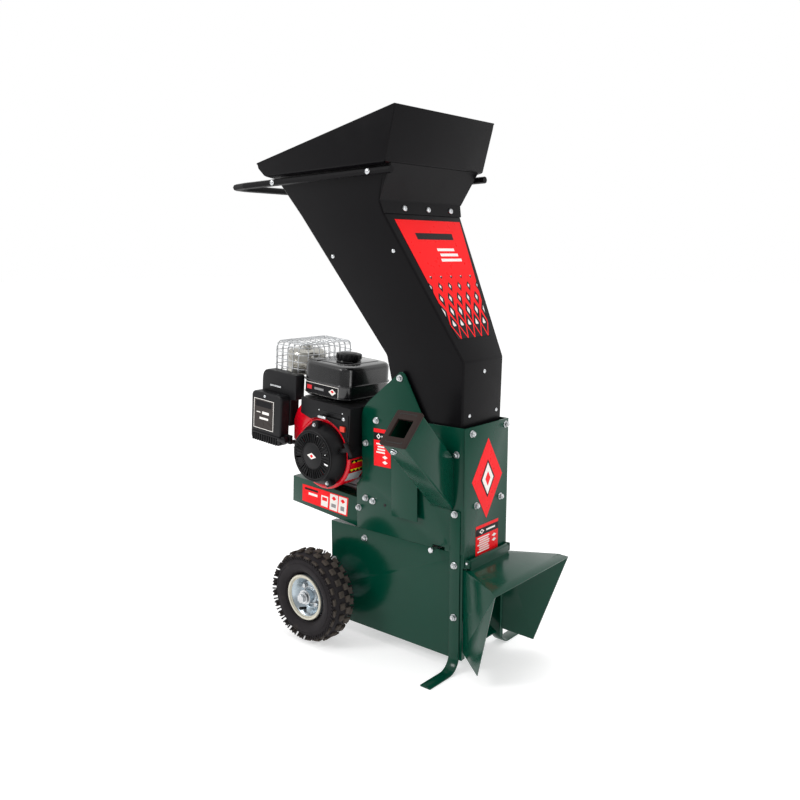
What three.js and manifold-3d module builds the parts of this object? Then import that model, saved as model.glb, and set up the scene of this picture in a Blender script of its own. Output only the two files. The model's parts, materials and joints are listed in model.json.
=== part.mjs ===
// A petrol wood chipper and shredder: a folded sheet housing on two wheels and two sled feet, with
// a tall feed hopper, a side chute for branches, a belt-driven rotor and a small petrol engine.
// Millimetres, +Z up. +X is the way the chips leave, and -Y is the side with the branch chute.
import * as THREE from "three";
import { mergeVertices } from "three/addons/utils/BufferGeometryUtils.js";
import Module from "manifold-3d";

const wasm = await Module();
wasm.setup();

// ---- Driving dimensions. While the pieces are made, x = 0 is the housing's front face, y = 0 its
// middle plane and z = 0 the ground.
const sheet = 3; // wall of the folded steel
const gap = 0.3; // between pieces that touch
const boltGap = 2; // room round a moving shaft

const discRadius = 145; // the rotor's disc, which the housing's depth is made to fit
const discRoom = 33; // between the disc and the front face

const housing = {
  width: 190,
  bottom: 31,
  seam: 309, // where the upper plates meet the lower box
  top: 627,
  upperDepth: 2 * discRadius + discRoom + 13, // front face to the upper plates' rear edge
  footStep: 20, // how much the plates widen low down
  tail: 117, // how far the lower box goes on behind the upper plates
  stepTop: 452, // the widening starts here
  stepBottom: 432,
};
housing.footDepth = housing.upperDepth + housing.footStep;
housing.lowerDepth = housing.upperDepth + housing.tail;
// Places near the rear edge of the upper plates are counted from that edge.
const fromRear = (distance) => distance - housing.upperDepth;
const ear = {
  tipX: fromRear(136),
  tipZ: 748,
  tipRadius: 11,
  shoulderX: fromRear(33),
  shoulderZ: 668,
  shoulderDrop: 52,
};
const outlet = { top: 276, ledge: 8 };

const rotorZ = 440;
const chuteThroat = {
  front: -14,
  rear: fromRear(78),
  halfWidth: 86.5,
  z: 786,
  bottomZ: rotorZ + discRadius + 15,
  bottomRear: fromRear(121),
};
const chuteTop = { front: -204, rear: fromRear(-151), halfWidth: 158, z: 1138 };
const hopper = {
  wall: 2.5,
  kinkFront: -212,
  kinkZ: 1168,
  shelfFront: -184,
  shelfRear: fromRear(-218),
  shelfHalfWidth: 180,
  shelfFrontZ: 1243,
  shelfRearZ: 1232,
  skirtFront: -163,
  skirtRear: fromRear(-242),
  skirtHalfWidth: 200,
  skirtRise: 9,
  rimFront: -131,
  rimRear: fromRear(-268),
  rimHalfWidth: 202,
  rimFrontZ: 1376,
  rimRearZ: 1275,
  hemHeight: 14,
};
const handle = {
  radius: 9,
  halfWidth: 191.5,
  front: -150,
  rear: hopper.rimRear - 118,
  bend: 38,
  frontZ: 1234,
  rearZ: 1219,
};

const mouth = {
  front: -32, // the branch chute's outer front wall
  width: 73,
  height: 94, // across the chute
  plateBottom: 420, // where its lower wall meets the side plate
  reach: 128, // along its upper wall
  angle: 45,
  openingWidth: 47,
  openingHeight: 50,
  guard: 7,
  cornerRadius: 5,
};
const strut = { left: fromRear(115), width: 85, bottom: 371, top: 560, standOff: 12 };

const foot = { barWidth: 31, barFront: -10, thickness: 4, reach: 120, bend: 42 };

const wheel = {
  x: 20 - housing.lowerDepth,
  radius: 127,
  width: 84,
  centreY: 193,
  beadRadius: 62,
  rimRadius: 61.7,
  rimWidth: 56,
  hubRadius: 17,
  hubLength: 70,
  axleRadius: 8,
};

const rotor = {
  x: -discRadius - discRoom,
  z: rotorZ,
  discRadius,
  discThickness: 12,
  discY: -60,
  shaftRadius: 12.5,
  bladeLength: 78,
  bladeWidth: 34,
  bladeThickness: 6,
  knifeLength: 96,
  knifeWidth: 32,
  knifeThickness: 8,
  pulleyRadius: 80,
};
const bearing = { radius: 42, length: 17 };
const drive = { y: 128, pulleyWidth: 22, grooveDepth: 9, enginePulleyRadius: 55, beltThickness: 8 };
const guardBox = { margin: 18, depth: 66, offset: 13 };

const screen = {
  radius: discRadius + 13,
  thickness: 4,
  from: 205,
  to: 325,
  halfWidth: housing.width / 2 - 25,
  slots: 6,
  slotDegrees: 9,
};
const ramp = { rearX: 53 - housing.lowerDepth, rearZ: 286, frontZ: 44 };

const deflector = {
  hingeX: 9,
  hingeZ: 291,
  hingeRadius: 3,
  top: 272,
  rootX: 2,
  cheekRootX: -2.7, // just ahead of the lower box's front edges
  lipX: 143,
  lipHalfWidth: 172,
  lipDepth: 22, // the strip along the lip that is bent down
  lipDrop: 6,
  tipX: 70,
  tipZ: 30,
};

const pin = { z: 314, radius: 3, standOff: 27, inside: 24, head: 7.5, headThickness: 7 };
// The pin's end lies against the edge of the screen.
pin.x = rotor.x + Math.sqrt((screen.radius + screen.thickness / 2) ** 2 - (rotor.z - pin.z) ** 2);

const enginePitch = THREE.MathUtils.degToRad(4.5);
const engine = { x: -housing.lowerDepth, z: 505, deck: -106 };
const platform = { rear: -146, topFront: 106, flangeFront: 166, rearDrop: 75, frontDrop: 82 };
const blower = { radius: 97, front: -120, depth: 76, wall: 3, topZ: 122 };
const recoil = { backRadius: 88, faceRadius: 72, front: -165, wall: 3, hubRadius: 36, slots: 12 };
const tank = {
  left: -112,
  right: 62,
  near: -108,
  far: 80,
  bottom: 145,
  top: 243,
  ridge: 190,
  corner: 32,
  bevel: 14,
};
const cap = { x: -17, y: -20, radius: 33.5, height: 17, neck: 5 };
const filter = {
  left: -246,
  right: -108,
  near: -131.5,
  far: -97,
  bottom: 50,
  top: 198,
  coverRight: -128,
  coverNear: -165,
};
const filterCover = { bottom: -5, top: 138 };
const muffler = { x: -187, y: -14, radius: 55, bottom: 184, top: 252, cap: 13, pipe: 11, outlet: 8 };
const cage = { left: -250, right: -124, near: -92, far: 120, bottom: 186, top: 274, wire: 2.4 };
const cylinderBlock = {
  angle: 25,
  start: 74,
  fins: 6,
  finPitch: 12,
  finThickness: 5,
  halfSize: 44,
  core: 34,
};
const cylinderHead = { length: 46, halfWidth: 46, halfHeight: 40 };

// ---- Colours.
const paint = {
  enamel: { color: 0x003a2b, roughness: 0.25, metalness: 0 },
  blackCoat: { color: 0x1b1a1d, roughness: 0.45, metalness: 0 },
  plastic: { color: 0x18181a, roughness: 0.5, metalness: 0 },
  redShroud: { color: 0xd2001e, roughness: 0.3, metalness: 0 },
  zinc: { color: 0xb9bcc0, roughness: 0.35, metalness: 1 },
  castAlloy: { color: 0x8d9094, roughness: 0.55, metalness: 1 },
  steel: { color: 0x9aa0a4, roughness: 0.4, metalness: 1 },
  rubber: { color: 0x262423, roughness: 0.9, metalness: 0 },
  guardRubber: { color: 0x2b201d, roughness: 0.7, metalness: 0 },
  wheelPaint: { color: 0xd9d8cf, roughness: 0.4, metalness: 0.4 },
  switchRed: { color: 0xc8141c, roughness: 0.4, metalness: 0 },
};

const halfWidth = housing.width / 2;
const innerHalf = halfWidth - sheet;
const chipper = new THREE.Group();
const engineGroup = new THREE.Group();
engineGroup.position.set(engine.x, 0, engine.z);
engineGroup.rotation.y = enginePitch;
chipper.add(engineGroup);

// ---- Solids.
function solid(geometry) {
  const plain = geometry.clone();
  for (const name of ["normal", "uv"]) plain.deleteAttribute(name);
  const merged = mergeVertices(plain, 1e-3);
  return new wasm.Manifold(
    new wasm.Mesh({
      numProp: 3,
      vertProperties: merged.attributes.position.array,
      triVerts: new Uint32Array(merged.index.array),
    }),
  );
}

function geometryOf(made) {
  const mesh = made.getMesh();
  const geometry = new THREE.BufferGeometry();
  geometry.setAttribute("position", new THREE.BufferAttribute(mesh.vertProperties, 3));
  geometry.setIndex(new THREE.BufferAttribute(mesh.triVerts, 1));
  geometry.computeVertexNormals();
  return geometry;
}

function join(...geometries) {
  return geometryOf(geometries.map(solid).reduce((whole, next) => whole.add(next)));
}

function cut(geometry, ...tools) {
  return geometryOf(tools.map(solid).reduce((whole, tool) => whole.subtract(tool), solid(geometry)));
}

function common(geometry, ...others) {
  return geometryOf(others.map(solid).reduce((whole, other) => whole.intersect(other), solid(geometry)));
}

// A box between two limits on each axis.
function block([x0, x1], [y0, y1], [z0, z1]) {
  const box = new THREE.BoxGeometry(x1 - x0, y1 - y0, z1 - z0);
  return box.translate((x0 + x1) / 2, (y0 + y1) / 2, (z0 + z1) / 2);
}

// A round bar along Y.
function barY(x, z, radius, y0, y1, sides = 24) {
  const bar = new THREE.CylinderGeometry(radius, radius, y1 - y0, sides);
  return bar.translate(x, (y0 + y1) / 2, z);
}

// A flat outline given in x and z, made into a plate from y0 to y1.
function plateXZ(shape, y0, y1) {
  const plate = new THREE.ExtrudeGeometry(shape, { depth: y1 - y0, bevelEnabled: false, curveSegments: 6 });
  return plate.rotateX(Math.PI / 2).translate(0, y1, 0);
}

function outline(points) {
  return new THREE.Shape(points.map(([x, y]) => new THREE.Vector2(x, y)));
}

// A closed skin through rings of the same number of corners, with flat ends.
function loft(rings) {
  const corners = rings[0].length;
  const position = rings.flat(2);
  const index = [];
  for (let r = 0; r + 1 < rings.length; r++)
    for (let c = 0; c < corners; c++) {
      const a = r * corners + c;
      const b = r * corners + ((c + 1) % corners);
      index.push(a, b, b + corners, a, b + corners, a + corners);
    }
  const last = (rings.length - 1) * corners;
  for (let c = 1; c + 1 < corners; c++) {
    index.push(0, c + 1, c);
    index.push(last, last + c, last + c + 1);
  }
  const geometry = new THREE.BufferGeometry();
  geometry.setAttribute("position", new THREE.Float32BufferAttribute(position, 3));
  geometry.setIndex(index);
  return geometry;
}

// One four-cornered ring of a hopper: its front and rear edges can be at different heights.
function ring({ front, rear, half, frontZ, rearZ = frontZ }) {
  return [
    [front, -half, frontZ],
    [front, half, frontZ],
    [rear, half, rearZ],
    [rear, -half, rearZ],
  ];
}

function shrunk(level, wall) {
  return { ...level, front: level.front - wall, rear: level.rear + wall, half: level.half - wall };
}

// A tube along a curve, with a round section.
function rod(curve, radius, steps, sides = 8) {
  const section = new THREE.Shape();
  for (let i = 0; i < sides; i++) {
    const angle = (2 * Math.PI * i) / sides;
    section[i ? "lineTo" : "moveTo"](radius * Math.cos(angle), radius * Math.sin(angle));
  }
  return new THREE.ExtrudeGeometry(section, { extrudePath: curve, steps, bevelEnabled: false });
}

// A lathe turned about the Y axis: the profile's points are [radius, y].
function turned(profile, x, z, sides = 36) {
  const points = profile.map(([radius, y]) => new THREE.Vector2(radius, y));
  return new THREE.LatheGeometry(points, sides).translate(x, 0, z);
}

function roundedRect(width, height, radius) {
  const shape = new THREE.Shape();
  const w = width / 2;
  const h = height / 2;
  shape.moveTo(-w + radius, -h);
  shape.lineTo(w - radius, -h);
  shape.absarc(w - radius, -h + radius, radius, -Math.PI / 2, 0);
  shape.lineTo(w, h - radius);
  shape.absarc(w - radius, h - radius, radius, 0, Math.PI / 2);
  shape.lineTo(-w + radius, h);
  shape.absarc(-w + radius, h - radius, radius, Math.PI / 2, Math.PI);
  shape.lineTo(-w, -h + radius);
  shape.absarc(-w + radius, -h + radius, radius, Math.PI, 1.5 * Math.PI);
  return shape;
}

function add(name, geometry, look, group = chipper) {
  const mesh = new THREE.Mesh(geometry, new THREE.MeshStandardMaterial(paint[look]));
  mesh.name = name;
  group.add(mesh);
  return mesh;
}

const near = (geometry) => geometry;
// The same piece on the far side. Turning every triangle round keeps the faces outwards.
function far(geometry) {
  const mirrored = (geometry.index ? geometry.toNonIndexed() : geometry.clone()).scale(1, -1, 1);
  const position = mirrored.attributes.position;
  for (let i = 0; i < position.count; i += 3) {
    const [x, y, z] = [position.getX(i), position.getY(i), position.getZ(i)];
    position.setXYZ(i, position.getX(i + 1), position.getY(i + 1), position.getZ(i + 1));
    position.setXYZ(i + 1, x, y, z);
  }
  mirrored.computeVertexNormals();
  return mirrored;
}
const sides = { near, far };

// ---- Housing: two upper side plates with ears, front and rear sheets, and the lower box.
function sidePlateShape() {
  const shape = new THREE.Shape();
  const shoulder = new THREE.Vector2(ear.shoulderX, ear.shoulderZ);
  shape.moveTo(-sheet - gap, housing.seam);
  shape.lineTo(-sheet - gap, housing.top);
  shape.lineTo(-118, housing.top);
  shape.quadraticCurveTo(-124, housing.top + 1, -133, housing.top + 19);
  shape.lineTo(ear.tipX + 12, ear.tipZ - 5);
  shape.quadraticCurveTo(ear.tipX, ear.tipZ + 6, ear.tipX - ear.tipRadius, ear.tipZ - 6);
  shape.lineTo(shoulder.x, shoulder.y);
  const rearEdge = -housing.upperDepth;
  const low = shoulder.y - ear.shoulderDrop;
  shape.quadraticCurveTo(rearEdge, (shoulder.y + low) / 2, rearEdge, low);
  shape.lineTo(-housing.upperDepth, housing.stepTop);
  shape.lineTo(-housing.footDepth, housing.stepBottom);
  shape.lineTo(-housing.footDepth, housing.seam);
  return shape;
}

const chuteHole = block(
  [mouth.front - mouth.width + sheet, mouth.front - sheet],
  [-halfWidth - 10, -halfWidth + 10],
  [mouth.plateBottom + 8, mouth.plateBottom + mouth.height / Math.sin(THREE.MathUtils.degToRad(mouth.angle)) - 8],
);
const upperPlate = plateXZ(sidePlateShape(), -halfWidth, -halfWidth + sheet);
const frontReturn = block(
  [-sheet - gap - sheet, -sheet - gap],
  [-halfWidth + 0.1, -halfWidth + 16],
  [outlet.top + 40, housing.top - 1],
);
const pinNotch = block(
  [pin.x - 19, pin.x + 20],
  [-halfWidth - 5, -halfWidth + 5],
  [housing.seam - 5, pin.z + pin.radius + 1],
);
const shaftHole = barY(rotor.x, rotor.z, rotor.shaftRadius + boltGap, halfWidth - 10, halfWidth + 10);
add("near_side_plate", cut(join(upperPlate, frontReturn), chuteHole, pinNotch), "enamel");
add("far_side_plate", cut(far(join(upperPlate, frontReturn)), shaftHole), "enamel");

const frontSheet = block([-sheet, 0], [-halfWidth, halfWidth], [outlet.top, housing.top]);
const ledge = block([-1, outlet.ledge], [-halfWidth + 1, halfWidth - 1], [outlet.top, outlet.top + sheet]);
function knuckle(side) {
  const middle = side * (halfWidth - 6);
  return cut(
    block([-1, deflector.hingeX + 6], [middle - 3, middle + 3], [outlet.top + 1, deflector.hingeZ + 6]),
    barY(deflector.hingeX, deflector.hingeZ, deflector.hingeRadius + gap, middle - 5, middle + 5, 16),
  );
}
add("front_panel", join(frontSheet, ledge, knuckle(-1), knuckle(1)), "enamel");

// The rear sheet closes the housing behind the rotor and follows the plates' edge up to the ears.
const rearInset = 4;
const rearOuter = [
  [-housing.upperDepth + rearInset, 436],
  [-housing.upperDepth + rearInset, ear.shoulderZ - ear.shoulderDrop],
  [ear.shoulderX + 3, ear.shoulderZ - 8],
  [fromRear(74), 694],
];
const rearInner = rearOuter.map(([x, z], i) => [x + sheet, z - (i > 1 ? sheet : 0)]).reverse();
add(
  "rear_panel",
  plateXZ(outline([...rearOuter, ...rearInner].reverse()), -innerHalf + gap, innerHalf - gap),
  "enamel",
);

const lowerTop = housing.seam - gap;
function lowerPanel() {
  const wall = block(
    [-housing.lowerDepth, -sheet - gap],
    [-halfWidth, -halfWidth + sheet],
    [housing.bottom, lowerTop],
  );
  const turnedIn = block(
    [-housing.lowerDepth + 0.1, -housing.footDepth - 6],
    [-halfWidth + 0.1, -halfWidth + 20],
    [lowerTop - sheet, lowerTop - 0.1],
  );
  const frontEdge = block(
    [-sheet - gap - sheet, -sheet - gap - 0.1],
    [-halfWidth + 0.1, -halfWidth + 14],
    [housing.bottom + 1, outlet.top - 2],
  );
  const axleHole = barY(wheel.x, wheel.radius, wheel.axleRadius + gap, -halfWidth - 10, -halfWidth + 10);
  return cut(join(wall, turnedIn, frontEdge), axleHole);
}
for (const side of ["near", "far"]) add("lower_panel_" + side, sides[side](lowerPanel()), "enamel");
add(
  "lower_rear_panel",
  block(
    [-housing.lowerDepth + 1, -housing.lowerDepth + 1 + sheet],
    [-innerHalf + gap, innerHalf - gap],
    [wheel.radius + 18, lowerTop - sheet - gap],
  ),
  "enamel",
);
add(
  "chip_ramp",
  plateXZ(
    outline([
      [ramp.rearX, ramp.rearZ],
      [-12, ramp.frontZ],
      [-12, ramp.frontZ + sheet],
      [ramp.rearX, ramp.rearZ + sheet],
    ]),
    -innerHalf + gap + 14,
    innerHalf - gap - 14,
  ),
  "enamel",
);

// ---- Two flat-bar legs, bolted outside the plates and curved out into sled feet.
function leg() {
  const inside = -halfWidth - gap;
  const top = mouth.plateBottom - 1.5; // clear of the branch chute
  const bend = foot.bend;
  const tip = -halfWidth - foot.reach;
  const outer = new THREE.Shape();
  const t = foot.thickness;
  outer.moveTo(inside, top);
  outer.lineTo(inside, bend);
  outer.absarc(inside - bend, bend, bend, 0, -Math.PI / 2, true);
  outer.lineTo(tip, 0);
  outer.lineTo(tip, t);
  outer.lineTo(inside - bend, t);
  outer.absarc(inside - bend, bend, bend - t, -Math.PI / 2, 0, false);
  outer.lineTo(inside - t, top);
  const bar = new THREE.ExtrudeGeometry(outer, { depth: foot.barWidth, bevelEnabled: false, curveSegments: 8 });
  // The outline's x and y become the leg's y and z.
  bar.applyMatrix4(new THREE.Matrix4().set(0, 0, 1, 0, 1, 0, 0, 0, 0, 1, 0, 0, 0, 0, 0, 1));
  return bar.translate(foot.barFront - foot.barWidth, 0, 0);
}
for (const side of ["near", "far"]) add("leg_" + side, sides[side](leg()), "enamel");

// ---- Discharge deflector: a hood hung on a rod in front of the outlet.
add(
  "deflector_hinge_rod",
  barY(deflector.hingeX, deflector.hingeZ, deflector.hingeRadius, -halfWidth - 1, halfWidth + 1, 16),
  "zinc",
);
function hood() {
  const { rootX, cheekRootX, lipX, tipX, tipZ, top } = deflector;
  const flare = (deflector.lipHalfWidth - halfWidth) / (lipX - rootX);
  const halfAt = (x) => halfWidth + flare * (x - rootX);
  const foldX = lipX - deflector.lipDepth;
  const lipZ = top - deflector.lipDrop;
  const section = (x, z) => [
    [x, -halfAt(x), z - sheet],
    [x, halfAt(x), z - sheet],
    [x, halfAt(x), z],
    [x, -halfAt(x), z],
  ];
  const topSheet = loft([section(rootX, top), section(foldX, top), section(lipX, lipZ)]);
  const cheekEdge = [
    [cheekRootX, top - 1],
    [foldX, top - 1],
    [lipX, lipZ - 1],
    [tipX, tipZ],
    [cheekRootX, tipZ + 24],
  ];
  const cheek = loft([
    cheekEdge.map(([x, z]) => [x, -halfAt(x), z]),
    cheekEdge.map(([x, z]) => [x, -halfAt(x) + sheet, z]),
  ]);
  const flangeX = deflector.hingeX + deflector.hingeRadius + gap;
  const flange = block(
    [flangeX, flangeX + sheet],
    [-halfWidth + 10, halfWidth - 10],
    [deflector.top - 1, deflector.hingeZ + 1],
  );
  const curl = cut(
    barY(
      deflector.hingeX,
      deflector.hingeZ,
      deflector.hingeRadius + gap + sheet,
      -halfWidth + 12,
      halfWidth - 12,
      16,
    ),
    barY(deflector.hingeX, deflector.hingeZ, deflector.hingeRadius + gap, -halfWidth, halfWidth, 16),
  );
  return join(topSheet, cheek, far(cheek), flange, curl);
}
add("discharge_deflector", hood(), "enamel");

// ---- Branch chute at 45 degrees, its rubber mouth guard and the plate beside it.
const chuteAngle = THREE.MathUtils.degToRad(mouth.angle);
const chuteGroup = new THREE.Group();
chuteGroup.position.set(mouth.front - mouth.width / 2, -halfWidth - gap, mouth.plateBottom);
chuteGroup.rotation.x = chuteAngle;
chipper.add(chuteGroup);
// In the chute's own frame z runs up along it and y across it, from the lower wall (0) to the upper.
const upperWallStart = mouth.height * Math.tan(Math.PI / 2 - chuteAngle);
function squareTube(width, height, length, radius) {
  return new THREE.ExtrudeGeometry(roundedRect(width, height, radius), {
    depth: length,
    bevelEnabled: false,
    curveSegments: 3,
  }).translate(0, height / 2, 0);
}
const tubeEnd = upperWallStart + mouth.reach + 43;
const housingSide = block([-200, 200], [0, 400], [-400, 400]);
housingSide.rotateX(-chuteAngle);
add(
  "chipper_chute",
  cut(
    squareTube(mouth.width, mouth.height, tubeEnd, mouth.cornerRadius),
    squareTube(mouth.width - 2 * sheet, mouth.height - 2 * sheet, tubeEnd + 20, mouth.cornerRadius - sheet)
      .translate(0, sheet, -10),
    housingSide,
  ),
  "enamel",
  chuteGroup,
);
add(
  "chute_mouth_guard",
  cut(
    squareTube(mouth.width + 4, mouth.height + 4, mouth.guard, mouth.cornerRadius).translate(0, -2, tubeEnd + gap),
    squareTube(mouth.openingWidth, mouth.openingHeight, mouth.guard + 20, 2).translate(
      0,
      (mouth.height - mouth.openingHeight) / 2,
      tubeEnd - 5,
    ),
  ),
  "guardRubber",
  chuteGroup,
);
const strutFoot = block(
  [strut.left + 1, strut.left + 1 + sheet],
  [-halfWidth - strut.standOff - 1, -halfWidth - gap],
  [strut.bottom + 4, strut.top],
);
add(
  "chute_strut",
  join(
    block(
      [strut.left, strut.left + strut.width],
      [-halfWidth - strut.standOff - sheet, -halfWidth - strut.standOff],
      [strut.bottom, strut.top],
    ),
    strutFoot,
  ),
  "enamel",
);

// ---- Feed chute and hopper.
const frontSlope = (chuteTop.front - hopper.kinkFront) / (hopper.kinkZ - chuteTop.z);
const chuteLevels = [
  {
    front: chuteThroat.front - 3,
    rear: chuteThroat.bottomRear,
    half: chuteThroat.halfWidth - 2.5,
    frontZ: chuteThroat.bottomZ,
  },
  { front: chuteThroat.front, rear: chuteThroat.rear, half: chuteThroat.halfWidth, frontZ: chuteThroat.z },
  { front: chuteTop.front, rear: chuteTop.rear, half: chuteTop.halfWidth, frontZ: chuteTop.z },
  {
    front: hopper.kinkFront,
    rear: chuteTop.rear - 18,
    half: chuteTop.halfWidth + 6,
    frontZ: hopper.kinkZ,
  },
  {
    front: hopper.shelfFront,
    rear: hopper.shelfRear,
    half: hopper.shelfHalfWidth - 1.5,
    frontZ: hopper.shelfFrontZ - gap,
    rearZ: hopper.shelfRearZ - gap,
  },
];
const wall = hopper.wall;
function levelShell(levels, thickness) {
  const inner = levels.map((level) => shrunk(level, thickness));
  const first = inner[0];
  const last = inner[inner.length - 1];
  const lift = (level, dz) => ({
    ...level,
    frontZ: level.frontZ + dz,
    rearZ: (level.rearZ ?? level.frontZ) + dz,
  });
  return cut(loft(levels.map(ring)), loft([lift(first, -5), ...inner, lift(last, 5)].map(ring)));
}
// Above the front flange the hopper's own front wall takes over, so the chute's is cut away there.
const frontCut = loft(
  [
    { front: 40, rear: chuteTop.front - 14 * frontSlope - 8, half: 400, frontZ: chuteTop.z + 14 },
    { front: 40, rear: hopper.kinkFront - 8, half: 400, frontZ: hopper.kinkZ },
    { front: 40, rear: hopper.shelfFront - 8, half: 400, frontZ: hopper.shelfFrontZ + 5 },
  ].map(ring),
);
add("hopper_chute", cut(levelShell(chuteLevels, wall), frontCut), "blackCoat");

const skirtFrontZ = hopper.shelfFrontZ + hopper.skirtRise;
const hopperLevels = [
  {
    front: hopper.shelfFront,
    rear: hopper.shelfRear,
    half: hopper.shelfHalfWidth,
    frontZ: hopper.shelfFrontZ,
    rearZ: hopper.shelfRearZ,
  },
  {
    front: hopper.skirtFront,
    rear: hopper.skirtRear,
    half: hopper.skirtHalfWidth,
    frontZ: skirtFrontZ,
    rearZ: hopper.shelfRearZ + hopper.skirtRise,
  },
  {
    front: hopper.rimFront - 2,
    rear: hopper.rimRear + 4,
    half: hopper.rimHalfWidth - 1,
    frontZ: hopper.rimFrontZ - hopper.hemHeight,
    rearZ: hopper.rimRearZ - hopper.hemHeight,
  },
  {
    front: hopper.rimFront,
    rear: hopper.rimRear,
    half: hopper.rimHalfWidth,
    frontZ: hopper.rimFrontZ,
    rearZ: hopper.rimRearZ,
  },
];
function frontApron() {
  const level = (x, half, z) => [
    [x, -half, z],
    [x, half, z],
    [x - wall, half, z],
    [x - wall, -half, z],
  ];
  const ease = wall + gap;
  const brow = { x: hopper.skirtFront, half: hopper.shelfHalfWidth - 2, z: hopper.shelfFrontZ + 8 };
  const sheetFront = loft([
    level(chuteTop.front + ease, chuteTop.halfWidth - 1, chuteTop.z),
    level(hopper.kinkFront + ease, chuteTop.halfWidth + 5, hopper.kinkZ),
    level(brow.x, brow.half, brow.z),
  ]);
  // A gusset closes each side between the sheet and the chute behind it.
  const corner = (inward) => [
    [hopper.kinkFront + ease, -chuteTop.halfWidth - 5 + inward, hopper.kinkZ],
    [brow.x - 1, -brow.half + inward, brow.z],
    [hopper.shelfFront + 1, -brow.half + inward, brow.z],
  ];
  const gusset = loft([corner(wall), corner(0)]);
  return join(sheetFront, gusset, far(gusset));
}
add("hopper_top", join(levelShell(hopperLevels, wall), frontApron()), "blackCoat");

// A round bar bent into a U passes down both sides of the hopper and across behind it.
function handlePath() {
  const path = new THREE.CurvePath();
  const at = (x, y) => {
    const along = (handle.front - x) / (handle.front - handle.rear);
    return new THREE.Vector3(x, y, handle.frontZ + along * (handle.rearZ - handle.frontZ));
  };
  const start = handle.rear + handle.bend;
  const half = handle.halfWidth;
  path.add(new THREE.LineCurve3(at(handle.front, -half), at(start, -half)));
  const bendStart = -half + handle.bend;
  path.add(new THREE.QuadraticBezierCurve3(at(start, -half), at(handle.rear, -half), at(handle.rear, bendStart)));
  path.add(new THREE.LineCurve3(at(handle.rear, -half + handle.bend), at(handle.rear, half - handle.bend)));
  path.add(new THREE.QuadraticBezierCurve3(at(handle.rear, -bendStart), at(handle.rear, half), at(start, half)));
  path.add(new THREE.LineCurve3(at(start, half), at(handle.front, half)));
  return path;
}
add("hopper_handle", rod(handlePath(), handle.radius, 32, 8), "blackCoat");

// ---- Rotor: a heavy disc with two chipping blades, two shredding knives, its shaft and pulley.
const discNear = rotor.discY;
const discFar = rotor.discY + rotor.discThickness;
const shaftNear = -innerHalf + gap + 1;
const shaftFar = drive.y + drive.pulleyWidth / 2 + 8;
add("rotor_shaft", barY(rotor.x, rotor.z, rotor.shaftRadius, shaftNear, shaftFar, 20), "steel");
const bore = (x, z, radius) => barY(x, z, radius + gap, -400, 400, 20);
add(
  "chipper_disc",
  cut(
    turned(
      [
        [0, discNear],
        [rotor.discRadius, discNear],
        [rotor.discRadius, discFar],
        [32, discFar],
        [32, discFar + 22],
        [0, discFar + 22],
      ],
      rotor.x,
      rotor.z,
      36,
    ),
    bore(rotor.x, rotor.z, rotor.shaftRadius),
  ),
  "steel",
);
function blade(turn) {
  const start = rotor.discRadius - rotor.bladeLength - 6;
  const shape = outline([
    [start, 0],
    [start + rotor.bladeLength, 0],
    [start + rotor.bladeLength, rotor.bladeWidth],
    [start, rotor.bladeWidth],
  ]);
  return plateXZ(shape, discNear - gap - rotor.bladeThickness, discNear - gap)
    .rotateY(turn)
    .translate(rotor.x, 0, rotor.z);
}
function knife(turn) {
  const start = 38;
  const shape = outline([
    [start, -rotor.knifeWidth / 2],
    [start + rotor.knifeLength, -rotor.knifeWidth / 2 + 6],
    [start + rotor.knifeLength, rotor.knifeWidth / 2],
    [start, rotor.knifeWidth / 2],
  ]);
  return plateXZ(shape, discFar + gap, discFar + gap + rotor.knifeThickness)
    .rotateY(turn)
    .translate(rotor.x, 0, rotor.z);
}
for (const [number, turn] of [
  [1, 0.6],
  [2, 0.6 + Math.PI],
]) {
  add("chipping_blade_" + number, blade(turn), "steel");
  add("shredding_knife_" + number, knife(turn + Math.PI / 2), "steel");
}
function pulley(x, z, radius, hole) {
  const half = drive.pulleyWidth / 2;
  const low = radius - drive.grooveDepth;
  return cut(
    turned(
      [
        [0, drive.y - half],
        [radius, drive.y - half],
        [radius, drive.y - half + 4],
        [low, drive.y - 3],
        [low, drive.y + 3],
        [radius, drive.y + half - 4],
        [radius, drive.y + half],
        [0, drive.y + half],
      ],
      x,
      z,
      24,
    ),
    bore(x, z, hole),
  );
}
add("rotor_pulley", pulley(rotor.x, rotor.z, rotor.pulleyRadius, rotor.shaftRadius), "castAlloy");
function flangeBearing() {
  const y0 = -innerHalf + gap;
  return cut(
    turned(
      [
        [0, y0],
        [bearing.radius, y0],
        [bearing.radius, y0 + 5],
        [bearing.radius * 0.62, y0 + 7],
        [bearing.radius * 0.62, y0 + bearing.length],
        [0, y0 + bearing.length],
      ],
      rotor.x,
      rotor.z,
      28,
    ),
    bore(rotor.x, rotor.z, rotor.shaftRadius),
  );
}
for (const side of ["near", "far"]) add("rotor_bearing_" + side, sides[side](flangeBearing()), "castAlloy");

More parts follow.
